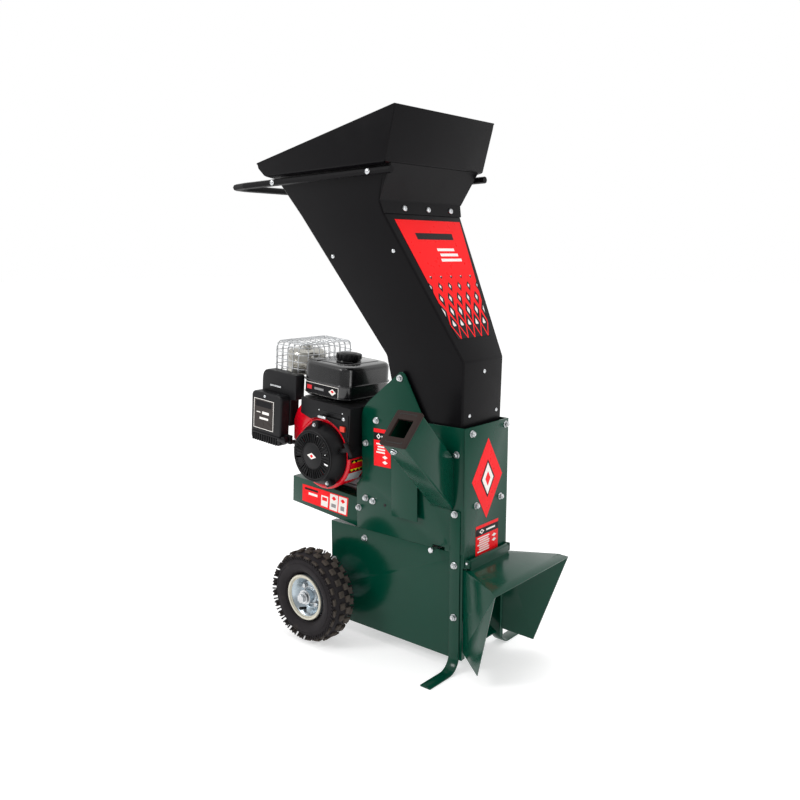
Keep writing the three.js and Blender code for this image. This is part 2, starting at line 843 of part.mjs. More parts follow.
// A curved grate below the rotor lets only small chips through.
function grate() {
  const from = THREE.MathUtils.degToRad(screen.from);
  const to = THREE.MathUtils.degToRad(screen.to);
  const shape = new THREE.Shape();
  shape.absarc(0, 0, screen.radius + screen.thickness, from, to, false);
  shape.absarc(0, 0, screen.radius, to, from, true);
  const depth = 2 * screen.halfWidth;
  const plate = new THREE.ExtrudeGeometry(shape, { depth, bevelEnabled: false, curveSegments: 14 })
    .rotateX(Math.PI / 2)
    .translate(0, screen.halfWidth, 0);
  const slots = [];
  for (let i = 0; i < screen.slots; i++) {
    const middle = from + ((i + 0.5) * (to - from)) / screen.slots;
    const width = 2 * screen.radius * Math.sin(THREE.MathUtils.degToRad(screen.slotDegrees) / 2);
    slots.push(
      block(
        [screen.radius - 20, screen.radius + 20],
        [-screen.halfWidth + 14, screen.halfWidth - 14],
        [-width / 2, width / 2],
      ).rotateY(-middle),
    );
  }
  return cut(plate, ...slots).translate(rotor.x, 0, rotor.z);
}
add("discharge_screen", grate(), "steel");

// The pull pin that keeps the screen in place, with a ring to pull it by.
const pinHead = -halfWidth - pin.standOff;
add(
  "screen_pin",
  join(
    barY(pin.x, pin.z, pin.radius, pinHead, -halfWidth + pin.inside, 12),
    turned(
      [
        [0, pinHead - pin.headThickness],
        [pin.head * 0.8, pinHead - pin.headThickness],
        [pin.head, pinHead - pin.headThickness + 2],
        [pin.head, pinHead],
        [0, pinHead],
      ],
      pin.x,
      pin.z,
      20,
    ),
  ),
  "zinc",
);

// ---- Drive: belt and guard on the far side.
const belt = {
  rotor: rotor.pulleyRadius - drive.grooveDepth + 1,
  engine: drive.enginePulleyRadius - drive.grooveDepth + 1,
};
function loopShape(grow) {
  const a = new THREE.Vector2(engine.x, engine.z);
  const b = new THREE.Vector2(rotor.x, rotor.z);
  const ra = belt.engine + grow;
  const rb = belt.rotor + grow;
  const along = b.clone().sub(a);
  const lean = Math.asin((rb - ra) / along.length());
  const heading = along.angle();
  const shape = new THREE.Shape();
  shape.absarc(a.x, a.y, ra, heading + Math.PI / 2 + lean, heading - Math.PI / 2 - lean, false);
  shape.absarc(b.x, b.y, rb, heading - Math.PI / 2 - lean, heading + Math.PI / 2 + lean, false);
  return shape;
}
function loopPlate(grow, y0, y1) {
  return new THREE.ExtrudeGeometry(loopShape(grow), { depth: y1 - y0, bevelEnabled: false, curveSegments: 12 })
    .rotateX(Math.PI / 2)
    .translate(0, y1, 0);
}
add(
  "drive_belt",
  cut(
    loopPlate(drive.beltThickness, drive.y - 2.6, drive.y + 2.6),
    loopPlate(0, drive.y - 20, drive.y + 20),
  ),
  "rubber",
);
const guardY = halfWidth + guardBox.offset - 10;
const guardGrow = guardBox.margin + drive.grooveDepth + 6;
add(
  "belt_guard",
  cut(
    loopPlate(guardGrow, guardY, guardY + guardBox.depth),
    loopPlate(guardGrow - sheet, guardY - 5, guardY + guardBox.depth - sheet),
  ),
  "enamel",
);

// ---- Wheels on a fixed axle.
const axleEnd = wheel.centreY + wheel.hubLength / 2 + 4;
add("wheel_axle", barY(wheel.x, wheel.radius, wheel.axleRadius, -axleEnd, axleEnd, 20), "zinc");
function tyre(middle) {
  const w = wheel.width / 2;
  const r = wheel.radius;
  const bead = wheel.beadRadius;
  const tread = [
    [bead, middle - 30],
    [bead + 14, middle - w + 4],
    [r - 30, middle - w],
    [r - 4, middle - w + 12],
    [r, middle - w + 26],
    [r, middle + w - 26],
    [r - 4, middle + w - 12],
    [r - 30, middle + w],
    [bead + 14, middle + w - 4],
    [bead, middle + 30],
    [bead + 16, middle + w - 14],
    [r - 18, middle + w - 16],
    [r - 18, middle - w + 16],
    [bead + 16, middle - w + 14],
    [bead, middle - 30],
  ];
  return turned(tread, wheel.x, wheel.radius, 28);
}
function rimDisc(middle, outward) {
  const hub = wheel.hubLength / 2;
  const half = wheel.rimWidth / 2;
  const y = (offset) => middle + outward * offset;
  const profile = [
    [wheel.axleRadius + gap, y(-hub)],
    [wheel.hubRadius, y(-hub)],
    [wheel.hubRadius, y(-4)],
    [46, y(-half + 6)],
    [wheel.rimRadius, y(-half)],
    [wheel.rimRadius, y(half)],
    [wheel.rimRadius - 6, y(half)],
    [46, y(half - 10)],
    [38, y(4)],
    [wheel.hubRadius, y(8)],
    [wheel.hubRadius, y(hub - 8)],
    [wheel.axleRadius + gap, y(hub - 8)],
    [wheel.axleRadius + gap, y(-hub)],
  ];
  return turned(outward > 0 ? profile : profile.slice().reverse(), wheel.x, wheel.radius, 28);
}
for (const [side, sign] of [
  ["near", -1],
  ["far", 1],
]) {
  add("tyre_" + side, tyre(sign * wheel.centreY), "rubber");
  add("rim_" + side, far(rimDisc(-sign * wheel.centreY, -sign)), "wheelPaint");
}

// ---- Engine deck, in the engine's own frame: its origin is on the crankshaft's axis.
const deckHalf = innerHalf - gap;
function deckFlange() {
  return plateXZ(
    outline([
      [platform.rear, engine.deck - 0.1],
      [platform.rear + 2, engine.deck - platform.rearDrop],
      [platform.flangeFront, engine.deck - platform.frontDrop],
      [platform.flangeFront, engine.deck - 40],
      [platform.topFront, engine.deck - 0.1],
    ]),
    -deckHalf,
    -deckHalf + sheet,
  );
}
add(
  "engine_platform",
  join(
    block([platform.rear, platform.topFront], [-deckHalf, deckHalf], [engine.deck - sheet, engine.deck]),
    deckFlange(),
    far(deckFlange()),
  ),
  "enamel",
  engineGroup,
);

const caseNear = blower.front + blower.depth + 6;
const caseFar = 62;
const cylinderTurn = THREE.MathUtils.degToRad(cylinderBlock.angle);
const cylinderY = (caseNear + caseFar) / 2;
// The cylinder lies along -x in its own frame and is then tipped up.
const tipped = (geometry) => geometry.rotateY(cylinderTurn).translate(0, cylinderY, 0);
const cylinderStart = cylinderBlock.start + 12;
const cylinderFoot = tipped(
  block(
    [-cylinderStart + gap, -40],
    [-cylinderBlock.core - 4, cylinderBlock.core + 4],
    [-cylinderBlock.core - 4, cylinderBlock.core + 4],
  ),
);
add(
  "crankcase",
  cut(
    join(
      cylinderFoot,
      block([-84, 84], [caseNear - 6, caseFar + 6], [engine.deck + gap, engine.deck + 9]),
      block([-60, 62], [caseNear, caseFar], [engine.deck + 8, 62]),
      barY(0, 0, 66, caseNear, caseFar, 32),
      barY(0, 0, 36, caseFar - 1, caseFar + 14, 28),
    ),
    barY(0, 0, 13 + gap, -300, 300, 20),
  ),
  "castAlloy",
  engineGroup,
);
const cylinderEnd = cylinderStart + 6 + cylinderBlock.fins * cylinderBlock.finPitch;
function finnedCylinder() {
  const { halfSize, core } = cylinderBlock;
  const pieces = [block([-cylinderEnd, -cylinderStart], [-core, core], [-core, core])];
  for (let i = 0; i < cylinderBlock.fins; i++) {
    const x = -(cylinderStart + 4 + i * cylinderBlock.finPitch);
    pieces.push(block([x - cylinderBlock.finThickness, x], [-halfSize, halfSize], [-halfSize, halfSize]));
  }
  return tipped(join(...pieces));
}
add("cylinder", finnedCylinder(), "castAlloy", engineGroup);
const headStart = cylinderEnd + gap;
function head() {
  const { length, halfWidth: w, halfHeight: h } = cylinderHead;
  return tipped(
    cut(
      join(
        block([-headStart - length + 20, -headStart], [-w, w], [-h, h]),
        block([-headStart - length, -headStart - length + 21], [-w + 8, w - 8], [-h + 8, h - 8]),
      ),
      new THREE.CylinderGeometry(7, 7, 40, 16).translate(-headStart - 12, w, 0),
    ),
  );
}
add("cylinder_head", head(), "castAlloy", engineGroup);
const plugY = cylinderHead.halfWidth;
function sparkPlug() {
  const points = [
    [0, -16],
    [5, -16],
    [5, 1],
    [9, 1],
    [9, 9],
    [6, 11],
    [5, 30],
    [2.5, 32],
    [2.5, 38],
    [0, 38],
  ].map(([r, y]) => new THREE.Vector2(r, y));
  return tipped(new THREE.LatheGeometry(points, 14).translate(-headStart - 12, plugY, 0));
}
add("spark_plug", sparkPlug(), "steel", engineGroup);

// ---- Blower housing, recoil cover and starter grip.
function blowerShape(inset) {
  const r = blower.radius - inset;
  const shape = new THREE.Shape();
  shape.moveTo(r, 0);
  shape.lineTo(r, blower.topZ - 16 - inset);
  shape.lineTo(r - 12, blower.topZ - 2 - inset);
  shape.lineTo(-86, blower.topZ - inset);
  shape.quadraticCurveTo(-108 + inset / 2, blower.topZ - inset, -125 + inset, 72);
  shape.lineTo(-124 + inset, 14);
  shape.quadraticCurveTo(-106 + inset, 4, -r, -4);
  shape.absarc(0, 0, r, Math.PI + 0.05, 2 * Math.PI, false);
  return shape;
}
function blowerHousing() {
  const backY = blower.front + blower.depth;
  const options = (depth, bevel) => ({
    depth,
    bevelEnabled: bevel > 0,
    bevelThickness: bevel,
    bevelSize: bevel,
    bevelOffset: -bevel,
    bevelSegments: 2,
    curveSegments: 9,
  });
  const outer = new THREE.ExtrudeGeometry(blowerShape(0), options(blower.depth - 6, 6));
  outer.rotateX(Math.PI / 2).translate(0, backY, 0);
  const trimmed = common(outer, block([-300, 300], [blower.front - 1, backY - 6], [-300, 300]));
  const inner = new THREE.ExtrudeGeometry(blowerShape(blower.wall), options(blower.depth - 4, 0));
  inner.rotateX(Math.PI / 2).translate(0, backY, 0);
  return cut(trimmed, inner, barY(0, 0, 64, blower.front - 10, blower.front + 20, 32));
}
add("blower_housing", blowerHousing(), "redShroud", engineGroup);

const grip = { offset: 26, radius: 6.5, length: 40 };
const recoilBack = blower.front - gap;
const ropeAngle = THREE.MathUtils.degToRad(19);
const ropeY = recoil.front + 22;
const ropeDirection = new THREE.Vector3(Math.cos(ropeAngle), 0, Math.sin(ropeAngle));
const ropeStart = ropeDirection.clone().multiplyScalar(recoil.backRadius + 3).setY(ropeY);
function alongRope(geometry) {
  const turn = new THREE.Quaternion().setFromUnitVectors(new THREE.Vector3(0, 1, 0), ropeDirection);
  return geometry.applyQuaternion(turn).translate(ropeStart.x, ropeStart.y, ropeStart.z);
}
function recoilCover() {
  const t = recoil.wall;
  const shell = turned(
    [
      [0, recoil.front],
      [recoil.faceRadius - 5, recoil.front],
      [recoil.faceRadius, recoil.front + 4],
      [recoil.backRadius - 4, recoil.front + 26],
      [recoil.backRadius, recoilBack],
      [recoil.backRadius - t, recoilBack],
      [recoil.backRadius - 4 - t, recoil.front + 27],
      [recoil.faceRadius - t, recoil.front + 6],
      [recoil.faceRadius - 8, recoil.front + t],
      [0, recoil.front + t],
    ],
    0,
    0,
    32,
  );
  const slots = [];
  for (let i = 0; i < recoil.slots; i++)
    slots.push(
      block([recoil.hubRadius + 8, recoil.faceRadius - 9], [recoil.front - 5, recoil.front + 10], [-3, 3]).rotateY(
        (2 * Math.PI * (i + 0.5)) / recoil.slots,
      ),
    );
  const ropeHole = alongRope(new THREE.CylinderGeometry(3.5, 3.5, 40, 10).translate(0, -6, 0));
  return cut(shell, ropeHole, ...slots);
}
add("recoil_cover", recoilCover(), "plastic", engineGroup);
function starterGrip() {
  const ropeRadius = 2;
  const ropeLength = 84;
  const rope = alongRope(
    new THREE.CylinderGeometry(ropeRadius, ropeRadius, ropeLength + 12, 10).translate(0, 8 - ropeLength / 2, 0),
  );
  const points = [
    [0, 2],
    [6, 2],
    [7, 12],
    [5, grip.offset],
    [0, grip.offset],
  ].map(([r, y]) => new THREE.Vector2(r, y));
  const stem = alongRope(new THREE.LatheGeometry(points, 14));
  const bar = alongRope(
    new THREE.CylinderGeometry(grip.radius, grip.radius, grip.length, 16)
      .rotateX(Math.PI / 2)
      .translate(0, grip.offset, 0),
  );
  return join(rope, stem, bar);
}
add("starter_grip", starterGrip(), "plastic", engineGroup);

// ---- Crankshaft group.
add("crankshaft", barY(0, 0, 13, -104, drive.y + drive.pulleyWidth / 2 + 6, 20), "steel", engineGroup);
function coolingFan() {
  const back = caseNear - 10;
  const pieces = [
    turned(
      [
        [0, back - 12],
        [60, back - 12],
        [60, back],
        [0, back],
      ],
      0,
      0,
      32,
    ),
  ];
  for (let i = 0; i < 10; i++)
    pieces.push(
      block([30, 58], [back - 34, back - 11], [-1.5, 1.5]).rotateY((2 * Math.PI * i) / 10),
    );
  return cut(join(...pieces), bore(0, 0, 13));
}
add("cooling_fan", coolingFan(), "castAlloy", engineGroup);
add("engine_pulley", pulley(0, 0, drive.enginePulleyRadius, 13), "castAlloy", engineGroup);

// ---- Fuel tank and cap.
function tankBody() {
  const width = tank.right - tank.left;
  const depth = tank.far - tank.near;
  const { bevel } = tank;
  const body = new THREE.ExtrudeGeometry(roundedRect(width, depth, tank.corner), {
    depth: tank.top - tank.bottom - 2 * bevel,
    bevelEnabled: true,
    bevelThickness: bevel,
    bevelSize: bevel,
    bevelOffset: -bevel,
    bevelSegments: 3,
    curveSegments: 4,
  }).translate((tank.left + tank.right) / 2, (tank.near + tank.far) / 2, tank.bottom + bevel);
  const ridge = new THREE.ExtrudeGeometry(roundedRect(width + 5, depth + 5, tank.corner + 2), {
    depth: 4,
    bevelEnabled: false,
    curveSegments: 4,
  }).translate((tank.left + tank.right) / 2, (tank.near + tank.far) / 2, tank.ridge - 2);
  const neck = new THREE.CylinderGeometry(cap.radius - 7, cap.radius - 3, cap.neck + 4, 28)
    .rotateX(Math.PI / 2)
    .translate(cap.x, cap.y, tank.top + cap.neck / 2 - 2);
  return join(body, ridge, neck);
}
add("fuel_tank", tankBody(), "plastic", engineGroup);
function fuelCap() {
  const low = tank.top + cap.neck + gap;
  const points = [
    [0, low],
    [cap.radius, low],
    [cap.radius, low + cap.height - 5],
    [cap.radius - 4, low + cap.height],
    [0, low + cap.height],
  ].map(([r, y]) => new THREE.Vector2(r, y));
  const body = new THREE.LatheGeometry(points, 32).rotateX(Math.PI / 2);
  const lugs = [];
  for (let i = 0; i < 8; i++)
    lugs.push(
      block([cap.radius - 3, cap.radius + 1.5], [-2.5, 2.5], [low + 1, low + cap.height - 6]).rotateZ((Math.PI * i) / 4),
    );
  return join(body, ...lugs).translate(cap.x, cap.y, 0);
}
add("fuel_cap", fuelCap(), "plastic", engineGroup);

// ---- Control panel between tank and recoil cover, with its levers and stop switch.
const panelFront = blower.front - 12;
const panel = {
  left: -84,
  leftBottom: 100,
  bottom: 6,
  wall: 3,
  far: 60,
  slotLeft: 0,
  slotRight: 68,
  slotZ: 109.5,
};
const panelRight = blower.radius + gap + panel.wall;
const panelTop = tank.bottom - 1;
function controlPanel() {
  const band = plateXZ(
    outline([
      [panelRight, panel.bottom],
      [panelRight, panelTop],
      [panel.left, panelTop],
      [panel.left, panel.leftBottom],
      [70, 60],
      [70, panel.bottom],
    ]),
    panelFront,
    blower.front - gap,
  );
  // It turns back along the shroud's side and under the tank.
  const returns = [panelFront + 1, panel.far];
  const side = block([blower.radius + gap, panelRight], returns, [panel.bottom, panelTop]);
  const roof = block([panel.left, panelRight - 1], returns, [panelTop - panel.wall, panelTop - 0.1]);
  const leverSlot = block(
    [panel.slotLeft, panel.slotRight],
    [panelFront - 5, panelFront + 6],
    [panel.slotZ - 2.5, panel.slotZ + 2.5],
  );
  const shroudEdge = barY(0, 0, blower.radius + 4, panelFront - 10, blower.front + 10, 40);
  return cut(join(cut(band, shroudEdge), side, roof), leverSlot);
}
add("control_panel", controlPanel(), "plastic", engineGroup);
function slotLever(x, z, length) {
  return join(
    block([x - 3, x + 3], [panelFront - 9, panelFront + 5], [z - 1.6, z + 1.6]),
    block([x - 9, x + 9], [panelFront - 9 - length, panelFront - 8], [z - 4, z + 4]),
  );
}
add("throttle_lever", slotLever(panel.slotLeft + 16, panel.slotZ, 7), "plastic", engineGroup);
add("stop_switch", block([70, 86], [panelFront - 6, panelFront - gap], [79, 93]), "switchRed", engineGroup);

// ---- Air cleaner: body, cover and its knob.
function filterBody() {
  const shape = new THREE.Shape();
  shape.moveTo(filter.left, filter.bottom);
  shape.lineTo(filter.coverRight, filter.bottom);
  shape.lineTo(filter.coverRight, blower.topZ + 3);
  shape.lineTo(filter.right, blower.topZ + 6);
  shape.lineTo(filter.right, filter.top - 8);
  shape.quadraticCurveTo(filter.right, filter.top, filter.right - 8, filter.top);
  shape.lineTo(filter.left + 26, filter.top);
  shape.quadraticCurveTo(filter.left, filter.top, filter.left, filter.top - 30);
  const body = plateXZ(shape, filter.near, filter.far);
  const intake = block(
    [filter.left + 20, filter.left + 60],
    [filter.far - 1, -50],
    [filter.bottom + 10, filter.bottom + 50],
  );
  return join(body, intake);
}
add("air_cleaner_body", filterBody(), "plastic", engineGroup);
const knob = { x: -117, z: 18, radius: 10, stem: 4, bar: 32 };
function filterCoverShell() {
  const middleX = (filter.left - 5 + filter.coverRight) / 2;
  const width = filter.coverRight - filter.left + 5;
  const height = filterCover.top - filterCover.bottom;
  const depth = filter.near - gap - filter.coverNear;
  const cover = new THREE.ExtrudeGeometry(roundedRect(width, height, 14), {
    depth: depth - 8,
    bevelEnabled: true,
    bevelThickness: 4,
    bevelSize: 4,
    bevelOffset: -4,
    bevelSegments: 2,
    curveSegments: 4,
  })
    .rotateX(Math.PI / 2)
    .translate(middleX, filter.near - gap - 4, (filterCover.top + filterCover.bottom) / 2);
  const lug = block(
    [filter.coverRight - 6, knob.x + 13],
    [filter.near - 18, filter.near - 9],
    [knob.z - 12, knob.z + 12],
  );
  return cut(
    join(cover, lug),
    barY(knob.x, knob.z, knob.stem + gap, filter.near - 30, filter.near, 16),
    block(
      [filter.left + 5, filter.coverRight - 10],
      [filter.coverNear + 6, filter.near + 20],
      [filterCover.bottom + 10, filter.bottom - 8],
    ),
  );
}
add("air_cleaner_cover", filterCoverShell(), "plastic", engineGroup);
add(
  "air_cleaner_knob",
  join(
    turned(
      [
        [0, filter.coverNear - 2],
        [knob.radius - 1, filter.coverNear - 2],
        [knob.radius, filter.coverNear + 1],
        [knob.radius, filter.coverNear + 12],
        [knob.stem, filter.coverNear + 14],
        [knob.stem, filter.near - 6],
        [0, filter.near - 6],
      ],
      knob.x,
      knob.z,
      16,
    ),
    block(
      [knob.x - knob.bar / 2, knob.x + knob.bar / 2],
      [filter.coverNear - 8, filter.coverNear - 1],
      [knob.z - 4, knob.z + 4],
    ),
  ),
  "plastic",
  engineGroup,
);
const choke = { x: -113, y: -128, z: 8, thickness: 4, length: 22, turn: THREE.MathUtils.degToRad(45) };
add(
  "choke_lever",
  join(
    block([0, choke.length - 7], [choke.y, choke.y + choke.thickness], [-3, 3]),
    barY(0, 0, 6, choke.y - 3, choke.y + choke.thickness + 1, 14),
    block([choke.length - 8, choke.length + 2], [choke.y - 6, choke.y + choke.thickness], [-5, 5]),
  )
    .rotateY(choke.turn)
    .translate(choke.x, 0, choke.z),
  "plastic",
  engineGroup,
);

// ---- Muffler and its wire cage.
function mufflerBody() {
  const { radius, bottom, top, cap: capRadius } = muffler;
  // An upright can with a stepped lid and a small cap.
  const points = [
    [0, bottom],
    [radius - 4, bottom],
    [radius, bottom + 4],
    [radius, top - 12],
    [radius - 3, top - 5],
    [radius - 12, top],
    [capRadius, top + 1],
    [capRadius, top + 8],
    [capRadius - 3, top + 11],
    [0, top + 11],
  ].map(([r, z]) => new THREE.Vector2(r, z));
  const can = new THREE.LatheGeometry(points, 32).rotateX(Math.PI / 2).translate(muffler.x, muffler.y, 0);
  const pipe = new THREE.CylinderGeometry(muffler.pipe, muffler.pipe, 60, 16)
    .rotateX(Math.PI / 2)
    .translate(muffler.x, cylinderY, muffler.bottom - 2);
  const outletPipe = new THREE.CylinderGeometry(muffler.outlet, muffler.outlet, 10, 14)
    .rotateZ(Math.PI / 2)
    .translate(muffler.x - radius, muffler.y, (bottom + top) / 2);
  return join(can, pipe, outletPipe);
}
add("muffler", mufflerBody(), "steel", engineGroup);
function wireCage() {
  const { left, right, near: y0, far: y1, bottom, top, wire } = cage;
  const bars = [];
  const r = wire / 2;
  const alongY = (x, z) => bars.push(block([x - r, x + r], [y0 - r, y1 + r], [z - r, z + r]));
  const alongX = (y, z) => bars.push(block([left - r, right + r], [y - r, y + r], [z - r, z + r]));
  const upright = (x, y) => bars.push(block([x - r, x + r], [y - r, y + r], [bottom - r, top + r]));
  for (const z of [bottom, (bottom + top) / 2, top]) {
    alongY(left, z);
    alongY(right, z);
    alongX(y0, z);
    alongX(y1, z);
  }
  for (let i = 0; i <= 4; i++) {
    const y = y0 + ((y1 - y0) * i) / 4;
    upright(left, y);
    upright(right, y);
    alongX(y, top);
  }
  upright((left + right) / 2, y0);
  upright((left + right) / 2, y1);
  alongY((left + right) / 2, top);
  return join(...bars);
}
add("muffler_guard", wireCage(), "zinc", engineGroup);

// ---- Oil filler plug on the crankcase.
function oilPlug() {
  const points = [
    [0, 0],
    [7, 0],
    [7, 10],
    [14, 10],
    [15, 20],
    [5, 20],
    [5, 30],
    [0, 30],
  ].map(([r, y]) => new THREE.Vector2(r, y));
  return new THREE.LatheGeometry(points, 18).rotateZ(-Math.PI / 2).translate(62 + gap, 20, -60);
}
add("oil_fill_plug", oilPlug(), "plastic", engineGroup);

// ---- The part's origin is the middle of its outline on the ground.
chipper.updateMatrixWorld(true);
const extent = new THREE.Box3().setFromObject(chipper, true);
const middle = extent.getCenter(new THREE.Vector3());
const part = new THREE.Group();
chipper.position.set(-middle.x, -middle.y, -extent.min.z);
part.add(chipper);

export default part;
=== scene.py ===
"""Looks of a petrol wood chipper: a folded sheet housing with a tall hopper, a branch chute and a small engine.
Places are in millimetres from the housing's front face, its middle plane and the ground."""

import json
import math

import bpy
from mathutils import Matrix, Vector

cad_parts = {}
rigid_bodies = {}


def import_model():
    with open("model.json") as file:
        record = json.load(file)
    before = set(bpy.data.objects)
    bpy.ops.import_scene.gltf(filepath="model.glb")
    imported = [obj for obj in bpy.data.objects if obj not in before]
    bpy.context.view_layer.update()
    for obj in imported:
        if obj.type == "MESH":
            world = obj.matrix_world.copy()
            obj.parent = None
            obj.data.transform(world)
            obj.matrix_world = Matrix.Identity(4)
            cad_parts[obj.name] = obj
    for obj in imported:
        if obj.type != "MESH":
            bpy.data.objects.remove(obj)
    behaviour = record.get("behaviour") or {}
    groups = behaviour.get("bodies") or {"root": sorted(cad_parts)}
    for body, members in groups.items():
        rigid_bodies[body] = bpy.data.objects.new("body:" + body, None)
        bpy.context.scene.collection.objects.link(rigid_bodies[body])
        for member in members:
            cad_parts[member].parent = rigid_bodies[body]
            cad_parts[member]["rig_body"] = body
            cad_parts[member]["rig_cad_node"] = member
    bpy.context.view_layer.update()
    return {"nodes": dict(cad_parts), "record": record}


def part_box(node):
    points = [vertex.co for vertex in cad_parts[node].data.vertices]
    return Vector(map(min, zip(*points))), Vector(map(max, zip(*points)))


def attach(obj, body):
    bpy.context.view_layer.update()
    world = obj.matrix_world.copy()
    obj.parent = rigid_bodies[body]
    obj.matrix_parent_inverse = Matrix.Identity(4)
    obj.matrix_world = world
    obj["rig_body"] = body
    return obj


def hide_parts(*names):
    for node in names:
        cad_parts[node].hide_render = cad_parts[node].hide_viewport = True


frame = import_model()
nodes = frame["nodes"]
body_of = {name: node["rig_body"] for name, node in nodes.items()}
MM = 0.001

# ---- Where things are, taken from the frame.
SHEET, GAP = 3.0, 0.3
near_low, near_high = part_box("near_side_plate")
far_low, far_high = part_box("far_side_plate")
ORIGIN = Vector((near_high.x + (SHEET + GAP) * MM, (near_low.y + far_high.y) / 2, 0.0))
HALF = (far_high.y - near_low.y) / 2 / MM
crank_low, crank_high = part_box("crankshaft")
CRANK = Vector(((crank_low.x + crank_high.x) / 2, ORIGIN.y, (crank_low.z + crank_high.z) / 2))
axle_low, axle_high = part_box("wheel_axle")
AXLE = Vector(((axle_low.x + axle_high.x) / 2, ORIGIN.y, (axle_low.z + axle_high.z) / 2))
PITCH = Matrix.Rotation(math.radians(4.5), 4, "Y")


def at(x, y, z):
    return ORIGIN + Vector((x, y, z)) * MM


def on_engine(x, y, z):
    return CRANK + PITCH @ (Vector((x, y, z)) * MM)


CHUTE_TURN = Matrix.Rotation(math.radians(45), 4, "X")


def on_chute(x, across, along):
    return at(-68.5, -HALF - GAP, 420) + CHUTE_TURN @ (Vector((x, across, along)) * MM)


# ---- Materials.
def linear(code):
    parts = [int(code[i : i + 2], 16) / 255 for i in (1, 3, 5)]
    return [p / 12.92 if p <= 0.04045 else ((p + 0.055) / 1.055) ** 2.4 for p in parts] + [1.0]


def add_node(tree, kind, values=None, **settings):
    """One node: settings are its properties, and values its sockets, each a constant or another node's output."""
    made = tree.nodes.new(kind)
    for key, value in settings.items():
        setattr(made, key, value)
    for key, value in (values or {}).items():
        if isinstance(value, bpy.types.NodeSocket):
            tree.links.new(value, made.inputs[key])
        else:
            made.inputs[key].default_value = value
    return made


def start_material(name):
    material = bpy.data.materials.new(name)
    material.use_nodes = True
    tree = material.node_tree
    return material, tree, tree.nodes["Principled BSDF"]


def noise(tree, scale, detail=3.0, stretch=None):
    vector = add_node(tree, "ShaderNodeTexCoord").outputs["Object"]
    if stretch:
        vector = add_node(tree, "ShaderNodeMapping", {"Vector": vector, "Scale": stretch}).outputs["Vector"]
    values = {"Vector": vector, "Scale": scale, "Detail": detail}
    return add_node(tree, "ShaderNodeTexNoise", values).outputs["Fac"]


def between(tree, factor, low, high):
    return add_node(tree, "ShaderNodeMapRange", {"Value": factor, "From Min": 0.3, "From Max": 0.7, "To Min": low, "To Max": high}).outputs["Result"]


def mixed(tree, factor, a, b):
    made = add_node(tree, "ShaderNodeMix", {0: factor, 6: a, 7: b}, data_type="RGBA")
    return made.outputs[2]


def shaded(code, amount):
    return [max(0.0, c * amount) for c in linear(code)[:3]] + [1.0]


def finish_of(
    name, code, rough, metal=0.0, coat=0.0, tone=0.12, patch=5.0, smudge=0.06, grain=700.0, depth=0.00012, strength=0.25,
    stretch=None, dust=None, dust_from=0.62, shine=0.5,
):
    """A finish with slow changes of tone, smudged gloss and a fine surface grain, and dust or wear in patches."""
    material, tree, shader = start_material(name)
    colour = mixed(tree, between(tree, noise(tree, patch, 4.0), 0.0, 1.0), shaded(code, 1 - tone), shaded(code, 1 + tone))
    if dust:
        cover = add_node(
            tree, "ShaderNodeMapRange", {"Value": noise(tree, 14.0, 8.0), "From Min": dust_from, "From Max": dust_from + 0.16}
        ).outputs["Result"]
        colour = mixed(tree, cover, colour, linear(dust))
    tree.links.new(colour, shader.inputs["Base Color"])
    tree.links.new(between(tree, noise(tree, 18.0, 5.0), rough - smudge, rough + smudge), shader.inputs["Roughness"])
    shader.inputs["Metallic"].default_value = metal
    shader.inputs["Specular IOR Level"].default_value = shine
    shader.inputs["Coat Weight"].default_value = coat
    shader.inputs["Coat Roughness"].default_value = 0.08
    values = {"Height": noise(tree, grain, 2.0, stretch), "Strength": strength, "Distance": depth}
    bump = add_node(tree, "ShaderNodeBump", values)
    tree.links.new(bump.outputs["Normal"], shader.inputs["Normal"])
    return material


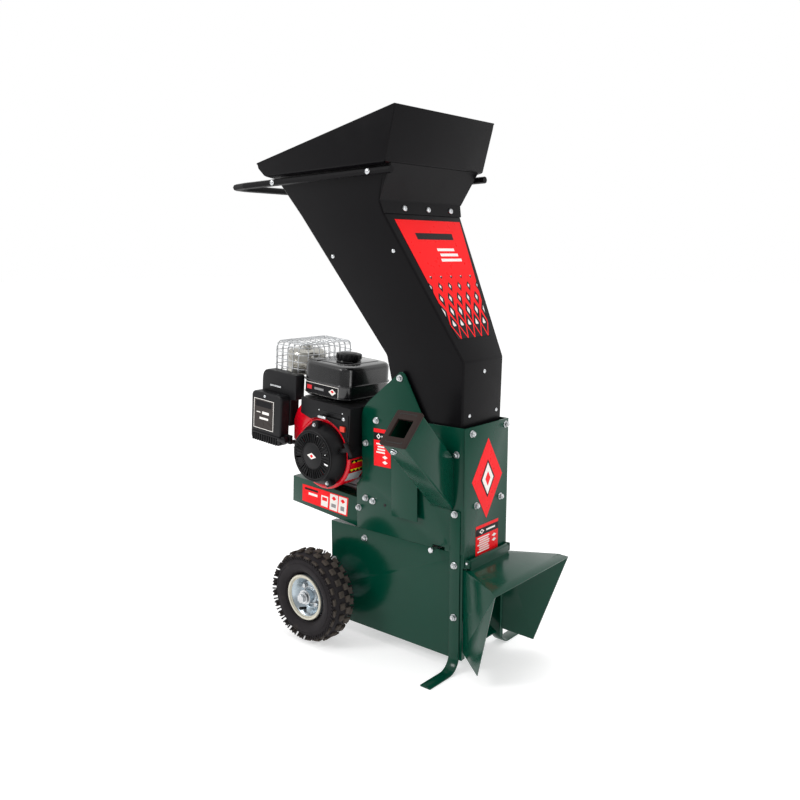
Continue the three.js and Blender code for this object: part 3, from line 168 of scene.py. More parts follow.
FINISH = {
    "green_enamel": finish_of("green_enamel", "#003A2B", 0.2, coat=0.06, shine=0.22, tone=0.05, smudge=0.05, grain=260.0, depth=0.0004, strength=0.05),
    "black_powder_coat": finish_of("black_powder_coat", "#0E0D0F", 0.34, tone=0.1, shine=0.09, grain=900.0, depth=0.0003, strength=0.16),
    "mouth_rubber": finish_of("mouth_rubber", "#2B201D", 0.6, shine=0.15, grain=500.0, strength=0.3),
    "black_moulding": finish_of("black_moulding", "#121214", 0.44, shine=0.22, grain=1500.0, depth=0.0002, strength=0.3),
    "tank_plastic": finish_of("tank_plastic", "#0C0C0E", 0.2, coat=0.5, tone=0.08, grain=1200.0, strength=0.06),
    "red_shroud": finish_of("red_shroud", "#D8021C", 0.26, coat=0.2, shine=0.35, tone=0.05, grain=300.0, strength=0.08),
    "red_switch": finish_of("red_switch", "#E23A26", 0.35, tone=0.05, strength=0.1),
    "zinc_plate": finish_of("zinc_plate", "#C9CBCD", 0.3, metal=1.0, tone=0.12, patch=60.0, grain=900.0, strength=0.15),
    "cast_alloy": finish_of("cast_alloy", "#9A9C9E", 0.5, metal=0.9, tone=0.15, patch=30.0, grain=1100.0, depth=0.0004, strength=0.5),
    "cast_iron": finish_of("cast_iron", "#55575A", 0.6, metal=0.8, tone=0.2, patch=30.0, grain=800.0, depth=0.0004, strength=0.5),
    "bare_steel": finish_of("bare_steel", "#BDBBB4", 0.3, metal=1.0, tone=0.12, patch=20.0, grain=600.0, strength=0.1, dust="#A39781", dust_from=0.66),
    "tool_steel": finish_of("tool_steel", "#A8ACB0", 0.28, metal=1.0, tone=0.1, stretch=(1, 1, 40), grain=60.0, strength=0.2),
    "belt_rubber": finish_of("belt_rubber", "#1B1A19", 0.75, grain=700.0, strength=0.4),
    "tyre_rubber": finish_of("tyre_rubber", "#242123", 0.66, shine=0.15, tone=0.12, patch=25.0, grain=1200.0, strength=0.25, dust="#3A332E"),
    "rim_enamel": finish_of("rim_enamel", "#B4C0C8", 0.3, metal=0.85, tone=0.12, patch=22.0, grain=700.0, strength=0.12, dust="#D9DDD8"),
}
TREAD_TOP = finish_of("tread_top", "#47413C", 0.85, shine=0.15, tone=0.2, patch=40.0, grain=900.0, strength=0.4)
CREAM = finish_of("rim_flange_paint", "#CFCBBB", 0.4, metal=0.15, tone=0.06, patch=30.0, dust="#8E8A7C", dust_from=0.66)
slot_of = {entry["node"]: entry["material_slot"] for entry in frame["record"]["subparts"]}


def wear(piece, slot):
    piece.data.materials.clear()
    piece.data.materials.append(FINISH[slot])


# ---- Modelling helpers.
def deselect():
    bpy.ops.object.select_all(action="DESELECT")


def only(*pieces):
    deselect()
    for piece in pieces:
        piece.select_set(True)
    bpy.context.view_layer.objects.active = pieces[-1]


def settle(name):
    """Names the new primitive and puts its shape into its mesh, with its origin at the frame's."""
    piece = bpy.context.object
    piece.name = piece.data.name = name
    only(piece)
    bpy.ops.object.transform_apply(location=True, rotation=True, scale=True)
    return piece


def modify(piece, kind, **settings):
    made = piece.modifiers.new(kind.title(), kind)
    for key, value in settings.items():
        setattr(made, key, value)
    only(piece)
    bpy.ops.object.modifier_apply(modifier=made.name)
    return piece


def round_edges(piece, width, segments=2, angle=30):
    modify(piece, "BEVEL", width=width, segments=segments, limit_method="ANGLE", angle_limit=math.radians(angle))
    return smooth(piece)


def smooth(piece, angle=35):
    only(piece)
    bpy.ops.object.shade_smooth_by_angle(angle=math.radians(angle))
    return piece


def cuboid(name, low, high, width, segments=2):
    low, high = Vector(low), Vector(high)
    bpy.ops.mesh.primitive_cube_add(size=1, location=(low + high) / 2, scale=high - low)
    return round_edges(settle(name), width, segments)


def disc(name, radius, depth, sides=32, low=0.0, width=0.0, segments=2):
    """A round piece that stands on the height low, along Z."""
    bpy.ops.mesh.primitive_cylinder_add(vertices=sides, radius=radius, depth=depth, location=(0, 0, low + depth / 2))
    piece = settle(name)
    return round_edges(piece, width, segments) if width else piece


def fuse(name, pieces):
    only(*pieces)
    if len(pieces) > 1:
        bpy.ops.object.join()
    piece = bpy.context.object
    piece.name = piece.data.name = name
    return piece


def copies(name, piece, places):
    """One piece made of copies of another, one at each matrix; the pattern is used up."""
    made = []
    for place in places:
        twin = piece.copy()
        twin.data = piece.data.copy()
        twin.data.transform(place)
        bpy.context.scene.collection.objects.link(twin)
        made.append(twin)
    bpy.data.objects.remove(piece)
    return fuse(name, made)


def facing(point, direction, turn=0.0):
    """The matrix that stands a piece at a point with its Z along a direction."""
    return Matrix.Translation(point) @ Vector(direction).to_track_quat("Z", "Y").to_matrix().to_4x4() @ Matrix.Rotation(turn, 4, "Z")


def give(piece, body, slot, material=None):
    if material is None:
        wear(piece, slot)
    elif not isinstance(material, bool):
        piece.data.materials.clear()
        piece.data.materials.append(material)
    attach(piece, body)
    return piece


def tube(name, points, radius, closed=False, sides=4, smooth_line=False):
    """A round wire or bar along points."""
    curve = bpy.data.curves.new(name, "CURVE")
    curve.dimensions = "3D"
    curve.bevel_depth = radius
    curve.bevel_resolution = sides
    curve.use_fill_caps = True
    spline = curve.splines.new("POLY")
    spline.points.add(len(points) - 1)
    for spot, point in zip(spline.points, points):
        spot.co = (*point, 1)
    spline.use_cyclic_u = closed
    piece = bpy.data.objects.new(name, curve)
    bpy.context.scene.collection.objects.link(piece)
    only(piece)
    bpy.ops.object.convert(target="MESH")
    return smooth(bpy.context.object, 60)


def softened(node, width, segments=2, angle=30, name=None):
    """A copy of a CAD node with rounded edges, which stands for it."""
    piece = nodes[node].copy()
    piece.data = nodes[node].data.copy()
    piece.name = piece.data.name = name or node + "_finished"
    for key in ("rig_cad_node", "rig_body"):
        if key in piece:
            del piece[key]
    piece.parent = None
    bpy.context.scene.collection.objects.link(piece)
    only(piece)
    bpy.ops.object.mode_set(mode="EDIT")
    bpy.ops.mesh.select_all(action="SELECT")
    bpy.ops.mesh.remove_doubles(threshold=0.00002)
    bpy.ops.mesh.dissolve_limited(angle_limit=math.radians(1.0))
    bpy.ops.object.mode_set(mode="OBJECT")
    round_edges(piece, width, segments, angle)
    give(piece, body_of[node], slot_of[node])
    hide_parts(node)
    return piece


# ---- CAD nodes: every one gets its finish, and most get rounded edges.
for name, node in nodes.items():
    wear(node, slot_of[name])
ROUNDING = {
    0.0009: ["near_side_plate", "far_side_plate", "front_panel", "lower_panel_near", "lower_panel_far", "discharge_deflector",
             "engine_platform", "rear_panel", "lower_rear_panel", "chip_ramp", "chute_strut", "leg_near", "leg_far",
             "chipper_chute", "belt_guard", "discharge_screen"],
    0.0014: ["chute_mouth_guard", "control_panel", "crankcase", "cylinder", "cylinder_head", "blower_housing", "throttle_lever"],
    0.0006: ["screen_pin", "choke_lever", "air_cleaner_knob", "rotor_pulley", "engine_pulley", "chipper_disc", "oil_fill_plug",
             "rotor_bearing_near", "rotor_bearing_far", "chipping_blade_1", "chipping_blade_2", "shredding_knife_1",
             "shredding_knife_2", "stop_switch", "wheel_axle", "spark_plug", "cooling_fan"],
}
for width, group in ROUNDING.items():
    for node in group:
        softened(node, width)
for node in ("fuel_cap", "starter_grip", "muffler", "rim_near", "rim_far", "recoil_cover"):
    softened(node, 0.0012, 2, 28)
softened("fuel_tank", 0.0016, 2, 20)
softened("air_cleaner_body", 0.006, 4)
softened("air_cleaner_cover", 0.002, 2, 20)
for name in ("deflector_hinge_rod", "rotor_shaft", "crankshaft", "drive_belt", "hopper_handle"):
    smooth(nodes[name], 40)


# ---- Hopper: each sheet is drawn as one skin, its folds are rounded, and it gets the sheet's thickness.
def skin(name, rings, wall, fold, closed_ring=True, reach=(30, 60)):
    corners = len(rings[0])
    points = [tuple(p) for ring in rings for p in ring]
    faces = []
    for r in range(len(rings) - 1):
        for c in range(corners if closed_ring else corners - 1):
            a, b = r * corners + c, r * corners + (c + 1) % corners
            faces.append((a, b, b + corners, a + corners))
    mesh = bpy.data.meshes.new(name)
    mesh.from_pydata(points, [], faces)
    piece = bpy.data.objects.new(name, mesh)
    bpy.context.scene.collection.objects.link(piece)
    only(piece)
    bpy.ops.object.mode_set(mode="EDIT")
    bpy.ops.mesh.select_all(action="SELECT")
    bpy.ops.mesh.normals_make_consistent(inside=False)
    bpy.ops.object.mode_set(mode="OBJECT")
    middle = Vector((at(-300, 0, 0).x, ORIGIN.y, 0))
    outward = sum(f.area * f.normal.dot(Vector((f.center.x - middle.x, f.center.y - middle.y, 0))) for f in mesh.polygons)
    if outward < 0:
        mesh.flip_normals()
    modify(piece, "BEVEL", width=fold, segments=4, limit_method="ANGLE", angle_limit=math.radians(12))
    modify(piece, "SOLIDIFY", thickness=wall * MM, offset=-1, use_even_offset=True)
    return round_edges(piece, 0.0005, 1, 50)


def level(front, rear, half, front_z, rear_z=None):
    rear_z = front_z if rear_z is None else rear_z
    return [at(front, -half, front_z), at(front, half, front_z), at(rear, half, rear_z), at(rear, -half, rear_z)]


WALL = 2.5
chute_rings = [
    level(-17, -215, 84, 600),
    level(-14, -258, 86.5, 786),
    level(-204, -487, 158, 1138),
    level(-212, -508.7, 164, 1168),
    level(-184, -554, 178.5, 1242.7, 1231.7),
]
chute = skin("hopper_chute_skin", chute_rings, WALL, 0.006)
# The upper front wall belongs to the hopper's own apron.
only(chute)
bpy.ops.object.mode_set(mode="EDIT")
bpy.ops.mesh.select_all(action="DESELECT")
bpy.ops.object.mode_set(mode="OBJECT")
for face in chute.data.polygons:
    middle = face.center
    on_front = abs(middle.y - ORIGIN.y) < 0.150 and middle.x > ORIGIN.x - 0.226 and middle.z > 1.142
    face.select = on_front and abs(face.normal.x) > 0.6
bpy.ops.object.mode_set(mode="EDIT")
bpy.ops.mesh.delete(type="FACE")
bpy.ops.object.mode_set(mode="OBJECT")
give(chute, "chassis", "black_powder_coat")
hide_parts("hopper_chute")

top_rings = [
    level(-184, -554, 180, 1243, 1232),
    level(-163, -578, 200, 1252, 1241),
    level(-133, -600, 201, 1362, 1261),
    level(-131, -604, 202, 1376, 1275),
]
top = skin("hopper_top_skin", top_rings, WALL, 0.003)
apron_rings = [
    [at(-204 + 2.8, -157, 1138), at(-204 + 2.8, 157, 1138)],
    [at(-212 + 2.8, -163, 1168), at(-212 + 2.8, 163, 1168)],
    [at(-163, -176.5, 1251), at(-163, 176.5, 1251)],
]
apron = skin("hopper_apron_skin", [list(reversed(r)) for r in apron_rings], WALL, 0.004, closed_ring=False)
gussets = []
for side in (-1, 1):
    corners = [at(-209.2, side * 162.9, 1168), at(-164, side * 176.4, 1251), at(-183, side * 176.4, 1251)]
    mesh = bpy.data.meshes.new("gusset")
    mesh.from_pydata([tuple(c) for c in corners], [], [(0, 1, 2)])
    gusset = bpy.data.objects.new("gusset", mesh)
    bpy.context.scene.collection.objects.link(gusset)
    gussets.append(modify(gusset, "SOLIDIFY", thickness=WALL * MM, offset=1 if side < 0 else -1))
hopper_top = fuse("hopper_top_finished", [apron, *gussets, top])
give(hopper_top, "chassis", "black_powder_coat")
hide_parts("hopper_top")

# The rolled rim round the hopper's top.
rim = [at(-131, -202, 1375), at(-131, 202, 1375), at(-604, 202, 1274), at(-604, -202, 1274)]
rim = [p + (Vector((at(-370, 0, 1320).x, ORIGIN.y, p.z)) - p).normalized() * 0.0022 for p in rim]
give(tube("hopper_rim_bead", rim, 0.0022, closed=True), "chassis", "black_powder_coat")


# ---- Fasteners.
def nut(name="nut"):
    washer = disc("washer", 0.0088, 0.0016, 32, 0.0, 0.0004, 1)
    hexagon = disc("hexagon", 0.0074, 0.0062, 6, 0.0014, 0.0007, 2)
    stud = disc("stud", 0.004, 0.0104, 20, 0.0, 0.0009, 2)
    threads = []
    for i in range(2):
        bpy.ops.mesh.primitive_torus_add(major_radius=0.0040, minor_radius=0.00035, major_segments=20, minor_segments=6, location=(0, 0, 0.0082 + i * 0.0009))
        threads.append(smooth(settle("thread")))
    return fuse(name, [washer, hexagon, stud, *threads])


def bolt_head(name="bolt"):
    washer = disc("washer", 0.0082, 0.0015, 32, 0.0, 0.0004, 1)
    head = disc("head", 0.0071, 0.0052, 6, 0.0013, 0.001, 3)
    return fuse(name, [washer, head])


def dome(radius, height):
    """A low round head, cut from a ball."""
    bpy.ops.mesh.primitive_uv_sphere_add(segments=28, ring_count=14, radius=radius, scale=(1, 1, height / radius))
    piece = settle("dome")
    bpy.ops.object.mode_set(mode="EDIT")
    bpy.ops.mesh.select_all(action="SELECT")
    bpy.ops.mesh.bisect(plane_co=(0, 0, 0), plane_no=(0, 0, 1), clear_inner=True, use_fill=True)
    bpy.ops.object.mode_set(mode="OBJECT")
    return smooth(piece, 50)


OUT = {-1: Vector((0, -1, 0)), 1: Vector((0, 1, 0))}
PLATE_BOLTS = [(-204, 732), (-284, 613), (-321, 548), (-25, 560), (-298, 393), (-323, 397), (-348, 366)]
LOWER_BOLTS = [(-327, 284), (-442, 197)]
LEG_BOLTS = [(-25.5, 411), (-25.5, 279.5), (-25.5, 143)]
for side, label in ((-1, "near"), (1, "far")):
    wall = HALF + 0.1
    hidden = side > 0
    places = [facing(at(x, side * wall, z), OUT[side], 0.3 * i) for i, (x, z) in enumerate(PLATE_BOLTS) if not (hidden and -345 < x < -90 and z < 620 and z > 380)]
    places += [facing(at(x, side * wall, z), OUT[side], 0.5 * i) for i, (x, z) in enumerate(LOWER_BOLTS)]
    places += [facing(at(x, side * (HALF + 4.4), z), OUT[side], 0.4 * i) for i, (x, z) in enumerate(LEG_BOLTS)]
    give(copies(label + "_side_bolts", nut(), places), "chassis", "zinc_plate")
front_spots = [(-68, 611), (81, 613), (-46, 426), (62, 427)]
give(copies("front_nuts", nut(), [facing(at(0.1, y, z), (1, 0, 0), 0.4 * i) for i, (y, z) in enumerate(front_spots)]), "chassis", "zinc_plate")
chute_normal = CHUTE_TURN.to_3x3() @ Vector((0, 1, 0))
mouth_spots = [facing(on_chute(6, 94.1, 248), chute_normal), facing(on_chute(-8, -0.1, 246), -chute_normal, 0.3)]
give(copies("mouth_guard_bolts", nut(), mouth_spots), "chassis", "zinc_plate")
flange_normal = Vector((30, 0, 8)).normalized()
spots = [facing(at(-207.6 + 3.2, y, 1152), flange_normal, 0.2 * i) for i, y in enumerate((-77, 18, 113))]
give(copies("flange_bolts", dome(0.0082, 0.0052), spots), "chassis", "zinc_plate")
slope_side = Vector(((at(-14, -86.5, 786) - at(-204, -158, 1138)).cross(at(-487, -158, 1138) - at(-204, -158, 1138)))).normalized()
slope_side = slope_side if slope_side.y < 0 else -slope_side
rivets = []
for side in (-1, 1):
    normal = Vector((slope_side.x, -side * slope_side.y, slope_side.z))
    for x, y, z in ((-393.1, -137.1, 1034.9), (-187.4, -139.8, 1048.3)):
        rivets.append(facing(at(x, -side * y, z) + normal * 0.0002, normal))
for y, z in ((4, 756), (-55, 651), (62, 651)):
    rivets.append(facing(at(-14.8 + (786 - z) * -0.0205, y, z), (1, 0, -0.02)))
give(copies("hopper_rivets", dome(0.0056, 0.0034), rivets), "chassis", "zinc_plate")
spots = []
for side in (-1, 1):
    for x, z in ((-548, 1223.6), (-217, 1232.2)):
        spots.append(facing(at(x, side * 200.3, z), OUT[side]))
give(copies("handle_bolts", dome(0.0072, 0.0036), spots), "chassis", "zinc_plate")


# ---- Wheels: a pneumatic tyre with blocks on its tread and ribs on its shoulders, on a pressed rim.
def tyre(label, side):
    low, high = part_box("tyre_" + label)
    centre = Vector((AXLE.x, (low.y + high.y) / 2, AXLE.z))
    upright = Matrix.Translation(centre) @ Matrix.Rotation(math.radians(90), 4, "X")
    bpy.ops.mesh.primitive_torus_add(major_radius=0.0915, minor_radius=0.0305, major_segments=96, minor_segments=40)
    carcass = settle("carcass")
    for v in carcass.data.vertices:
        reach = math.hypot(v.co.x, v.co.y)
        v.co.z *= 1.32 - 0.1 * max(0.0, (reach - 0.0915) / 0.0305)
        wanted = min(reach, 0.1240)
        if reach < 0.0655:
            wanted = max(reach, 0.0615)
        v.co.x *= wanted / reach
        v.co.y *= wanted / reach
    smooth(carcass, 60)
    # One block of each row, copied round the tread; alternate rows are half a pitch on.
    pitches, pieces, tops = 24, [carcass], []
    for row, (offset, lean) in enumerate(((-29, -26), (-10, -4), (10, 4), (29, 26))):
        block = cuboid("block", (-0.0085, -0.0078, -0.004), (0.0085, 0.0078, 0.0022), 0.0012, 2)
        drop = 0.0100 if abs(offset) > 20 else 0.0
        local = Matrix.Translation((0, -0.1240 + drop, offset * MM)) @ Matrix.Rotation(math.radians(90), 4, "X")
        local = local @ Matrix.Rotation(math.radians(lean), 4, "X")
        turns = [Matrix.Rotation(2 * math.pi * (i + (row % 2) / 2) / pitches, 4, "Z") @ local for i in range(pitches)]
        tops.append(copies("blocks", block, turns))
    for mirror in (-1, 1):
        rib = cuboid("rib", (-0.0020, -0.0080, -0.0016), (0.0020, 0.0080, 0.0009), 0.0006, 1)
        local = Matrix.Translation((0, -0.1090, mirror * 0.0372)) @ Matrix.Rotation(mirror * math.radians(-34), 4, "X")
        local = local @ (Matrix.Identity(4) if mirror > 0 else Matrix.Rotation(math.pi, 4, "Y"))
        pieces.append(copies("ribs", rib, [Matrix.Rotation(2 * math.pi * i / 72, 4, "Z") @ local for i in range(72)]))
        for radius, thick in ((0.0965, 0.0007), (0.0735, 0.0009)):
            bpy.ops.mesh.primitive_torus_add(major_radius=radius, minor_radius=thick, major_segments=96, minor_segments=6, location=(0, 0, mirror * 0.0395 if radius > 0.08 else mirror * 0.0322))
            pieces.append(smooth(settle("ring"), 60))
    rubber = fuse("tyre_" + label + "_carcass", pieces)
    rubber.data.transform(upright)
    give(rubber, "wheel_" + label, "tyre_rubber")
    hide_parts("tyre_" + label)
    blocks = fuse("tyre_" + label + "_tread", tops)
    blocks.data.transform(upright)
    give(blocks, "wheel_" + label, "tyre_rubber", TREAD_TOP)
    # The rim's rolled flange, its rivets, the valve and the nut on the axle's end.
    out = Vector((0, side, 0))
    bpy.ops.mesh.primitive_torus_add(major_radius=0.0592, minor_radius=0.0036, major_segments=80, minor_segments=14)
    flange = settle("flange")
    flange.data.transform(facing(centre + out * 0.0305, out))
    smooth(flange, 60)
    bpy.ops.mesh.primitive_torus_add(major_radius=0.0545, minor_radius=0.0018, major_segments=80, minor_segments=10)
    step = settle("step")
    step.data.transform(facing(centre + out * 0.0285, out))
    give(fuse("rim_" + label + "_flange", [smooth(step, 60), flange]), "wheel_" + label, "rim_enamel", CREAM)
    face = centre + out * 0.0065
    spots = []
    for i in range(4):
        turn = math.radians(45 + 90 * i)
        spots.append(facing(face + Vector((math.cos(turn), 0, math.sin(turn))) * 0.030, out, turn))
    studs = copies("studs", bolt_head(), spots)
    bpy.ops.mesh.primitive_torus_add(major_radius=0.0235, minor_radius=0.0016, major_segments=56, minor_segments=8)
    bead = settle("bead")
    bead.data.transform(facing(centre + out * 0.0085, out))
    boss = disc("boss", 0.0205, 0.004, 48, 0.0, 0.0012)
    boss.data.transform(facing(centre + out * 0.0265, out))
    give(fuse("rim_" + label + "_fittings", [studs, smooth(bead, 60), boss]), "wheel_" + label, "zinc_plate")
    turn = math.radians(248)
    root = centre + out * 0.010 + Vector((math.cos(turn), 0, math.sin(turn))) * 0.044
    stem = disc("stem", 0.0036, 0.017, 20, 0.0, 0.0008)
    cap_piece = disc("valve_cap", 0.0044, 0.011, 14, 0.014, 0.001)
    valve = fuse("valve_" + label, [stem, cap_piece])
    valve.data.transform(facing(root, out + Vector((math.cos(turn), 0, math.sin(turn))) * -0.3))
    give(valve, "wheel_" + label, "black_moulding")
    nut_piece = disc("axle_nut", 0.0125, 0.009, 6, 0.0, 0.0012, 3)
    washer = disc("axle_washer", 0.0165, 0.0022, 40, -0.0022, 0.0005)
    end = AXLE + Vector((0, centre.y - ORIGIN.y, 0)) + out * 0.0375
    hub = fuse("axle_nut_" + label, [washer, nut_piece])
    hub.data.transform(facing(end, out))
    give(hub, "chassis", "zinc_plate")


tyre("near", -1)
tyre("far", 1)


# ---- Muffler cage of round wire, with the can's seams and its cap.
CAGE = dict(left=-250, right=-124, near=-92, far=120, bottom=186, top=274)
TOP = CAGE["top"]


def cage_ring(z, inset=0.0, corner=24.0, steps=7):
    points = []
    x0, x1 = CAGE["left"] + inset, CAGE["right"] - inset
    y0, y1 = CAGE["near"] + inset, CAGE["far"] - inset
    r = max(corner - inset, 4.0)
    for cx, cy, start in ((x1 - r, y1 - r, 0), (x0 + r, y1 - r, 90), (x0 + r, y0 + r, 180), (x1 - r, y0 + r, 270)):
        for i in range(steps + 1):
            a = math.radians(start + 90 * i / steps)
            points.append(on_engine(cx + r * math.cos(a), cy + r * math.sin(a), z))
    return points


wires = [tube("wire", cage_ring(z, inset), 0.00135, closed=True, sides=2) for z, inset in ((186, 0), (206, 0), (226, 0), (246, 0), (TOP - 8, 3), (TOP, 11))]
wires += [tube("wire", cage_ring(TOP, inset, corner), 0.00135, closed=True, sides=2) for inset, corner in ((26, 26), (40, 42))]
x_mid, y_mid = (CAGE["left"] + CAGE["right"]) / 2, (CAGE["near"] + CAGE["far"]) / 2
for i in range(9):
    y = CAGE["near"] + 20 + (CAGE["far"] - CAGE["near"] - 40) * i / 8
    for x, bow in ((CAGE["left"], 1), (CAGE["right"], -1)):
        wires.append(tube("wire", [on_engine(x, y, 186), on_engine(x, y, TOP - 16), on_engine(x + bow * 3, y, TOP - 7), on_engine(x + bow * 11, y, TOP), on_engine(x_mid, y, TOP + 1)], 0.00135, sides=2))
for i in range(5):
    x = CAGE["left"] + 18 + (CAGE["right"] - CAGE["left"] - 36) * i / 4
    for y, bow in ((CAGE["near"], 1), (CAGE["far"], -1)):
        wires.append(tube("wire", [on_engine(x, y, 186), on_engine(x, y, TOP - 16), on_engine(x, y + bow * 3, TOP - 7), on_engine(x, y + bow * 11, TOP), on_engine(x, y + bow * 46, TOP + 1)], 0.00135, sides=2))
cage = fuse("muffler_cage_wires", wires)
give(cage, "chassis", "zinc_plate")
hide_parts("muffler_guard")
bands = []
for radius, thick, z in ((0.0551, 0.0016, 187), (0.0551, 0.0009, 205), (0.0551, 0.0009, 223), (0.0549, 0.0018, 241), (0.0132, 0.0012, 260)):
    bpy.ops.mesh.primitive_torus_add(major_radius=radius, minor_radius=thick, major_segments=64, minor_segments=8)
    band = settle("band")
    band.data.transform(Matrix.Translation(on_engine(-187, -14, z)) @ PITCH)
    bands.append(smooth(band, 60))
give(fuse("muffler_bands", bands), "chassis", "bare_steel")


# ---- Engine details, on the engine's own axes.
def engine_matrix(x, y, z, rotation=None):
    matrix = Matrix.Translation(on_engine(x, y, z)) @ PITCH
    return matrix @ rotation if rotation is not None else matrix


TO_NEAR = Matrix.Rotation(math.radians(90), 4, "X")  # a piece's Z points at -Y
# The red shroud's rounded rim round the starter.
bpy.ops.mesh.primitive_torus_add(major_radius=0.0925, minor_radius=0.0068, major_segments=96, minor_segments=18)
rim_piece = settle("rim")
for v in rim_piece.data.vertices:
    v.co.z *= 0.9
rim_piece.data.transform(engine_matrix(0, -119, 0, TO_NEAR))
give(smooth(rim_piece, 60), "chassis", "red_shroud")
rim_piece.name = rim_piece.data.name = "shroud_rim"

# Starter cover: radial vanes, a raised rim and hub, and two bolted ears.
vane = cuboid("vane", (0.0375, -0.0011, -0.001), (0.0615, 0.0011, 0.0034), 0.0006, 1)
vanes = copies("vanes", vane, [Matrix.Rotation(2 * math.pi * i / 40, 4, "Z") for i in range(40)])
rings = []
for radius, thick, lift in ((0.0355, 0.0016, 0.0008), (0.0635, 0.0014, 0.0008), (0.0695, 0.0024, -0.001), (0.0285, 0.0008, 0.0006)):
    bpy.ops.mesh.primitive_torus_add(major_radius=radius, minor_radius=thick, major_segments=80, minor_segments=10, location=(0, 0, lift))
    rings.append(smooth(settle("ring"), 60))
hub = disc("hub", 0.0345, 0.0026, 64, -0.001, 0.0009)
face = fuse("starter_face", [vanes, *rings, hub])
face.data.transform(engine_matrix(0, -165, 0, TO_NEAR))
give(face, "chassis", "black_moulding")
ears, heads = [], []
for x, z in ((-6, 82), (52, -67)):
    direction = Vector((x, 0, z)).normalized()
    place = Matrix.Translation(on_engine(direction.x * 80, -150, direction.z * 80)) @ PITCH
    turn = Matrix.Rotation(-math.atan2(direction.z, direction.x), 4, "Y")
    ear = cuboid("ear", (-0.014, -0.006, -0.011), (0.014, 0.016, 0.011), 0.004, 3)
    ear.data.transform(place @ turn)
    ears.append(ear)
    heads.append(engine_matrix(direction.x * 84, -156.2, direction.z * 84, TO_NEAR) @ Matrix.Diagonal((0.62, 0.62, 0.7, 1)))
give(fuse("starter_ears", ears), "chassis", "black_moulding")
give(copies("starter_bolts", bolt_head(), heads), "chassis", "zinc_plate")

# Tank: the moulded shoulder line, the raised panel round the filler and the strap bosses.
tank_low, tank_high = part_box("fuel_tank")
panel_piece = cuboid("tank_panel", (-0.046, -0.070, -0.004), (0.046, 0.070, 0.004), 0.0035, 4)
panel_piece.data.transform(engine_matrix(-17, -14, 241))
boss_piece = cuboid("tank_boss", (-0.016, -0.020, -0.006), (0.016, 0.020, 0.006), 0.005, 4)
boss_piece.data.transform(engine_matrix(-80, -76, 240))
seam_points = []
for cx, cy, start in ((30, 48, 0), (-80, 48, 90), (-80, -76, 180), (30, -76, 270)):
    for i in range(7):
        a = math.radians(start + 90 * i / 6)
        seam_points.append(on_engine(cx + 33.5 * math.cos(a), cy + 33.5 * math.sin(a), 190))
seam = tube("seam", seam_points, 0.0022, closed=True)
second = tube("seam", [p - PITCH.to_3x3() @ Vector((0, 0, 0.034)) for p in seam_points], 0.0014, closed=True)
give(fuse("tank_mouldings", [panel_piece, boss_piece, seam, second]), "chassis", "tank_plastic")
collar = disc("collar", 0.0355, 0.005, 56, 0.0, 0.0015)
collar.data.transform(engine_matrix(-17, -20, 242))
give(collar, "chassis", "tank_plastic")
collar.name = collar.data.name = "filler_collar"
grip = cuboid("grip", (0.0317, -0.0036, 0.004), (0.0357, 0.0036, 0.0155), 0.0014, 2)
grips = copies("fuel_cap_grips", grip, [engine_matrix(-17, -20, 248.3) @ Matrix.Rotation(2 * math.pi * i / 16, 4, "Z") for i in range(16)])
top_disc = disc("top_disc", 0.0215, 0.0016, 48, 0.0, 0.0007)
top_disc.data.transform(engine_matrix(-17, -20, 265.2))
give(fuse("fuel_cap_top", [grips, top_disc]), "cap", "black_moulding")

# Air cleaner: louvres along the bottom, a moulded frame, the latch and a screw.
louvres = copies("louvres", cuboid("louvre", (-0.0022, -0.004, -0.010), (0.0022, 0.009, 0.010), 0.0008, 1), [engine_matrix(-240 + 9.5 * i, -164, 6) for i in range(11)])
lip = cuboid("lip", (-0.058, -0.002, -0.0022), (0.058, 0.006, 0.0022), 0.0012, 2)
lip.data.transform(engine_matrix(-188, -166, 20))
give(fuse("cleaner_louvres", [louvres, lip]), "chassis", "black_moulding")
latch = cuboid("latch", (-0.022, -0.0025, -0.003), (0.022, 0.0025, 0.003), 0.0012, 2)
latch.data.transform(engine_matrix(-186, -133.5, 156))
screw = dome(0.0042, 0.0026)
screw.data.transform(Matrix.Translation(on_engine(-196, -165.2, 128)) @ PITCH @ TO_NEAR)
give(fuse("cleaner_latch", [latch, screw]), "chassis", "zinc_plate")

# Control panel: a recessed scale, its lever knob and a screw.
panel_y = -132.2
scale_bar = cuboid("scale_bar", (-0.036, -0.0014, -0.0016), (0.036, 0.0008, 0.0016), 0.0006, 2)
scale_bar.data.transform(engine_matrix(34, panel_y, 121))
ridge = cuboid("ridge", (-0.0015, -0.002, -0.030), (0.0015, 0.001, 0.030), 0.0009, 2)
ridge.data.transform(engine_matrix(94, panel_y, 96))
give(fuse("panel_mouldings", [scale_bar, ridge]), "chassis", "black_moulding")
lever_tip = cuboid("lever_tip", (-0.013, -0.007, -0.0034), (0.016, 0.0, 0.0034), 0.0018, 3)
lever_tip.data.transform(engine_matrix(16, -148.2, 109.5))
give(lever_tip, "throttle", "zinc_plate")
lever_tip.name = lever_tip.data.name = "throttle_tip"
dots = [dome(r, r * 0.5) for r in (0.0022, 0.0022, 0.0056)]
for piece, (x, z) in zip(dots, ((-14, 121), (72, 126), (77, 112))):
    piece.data.transform(Matrix.Translation(on_engine(x, panel_y + 0.1, z)) @ PITCH @ TO_NEAR)
give(fuse("panel_screws", dots), "chassis", "zinc_plate")

# Bolts that hold the engine down on its deck.
feet = [engine_matrix(x, y, -96.8) for x in (-72, 72) for y in (-32, 56)]
give(copies("deck_bolts", nut(), feet), "chassis", "zinc_plate")


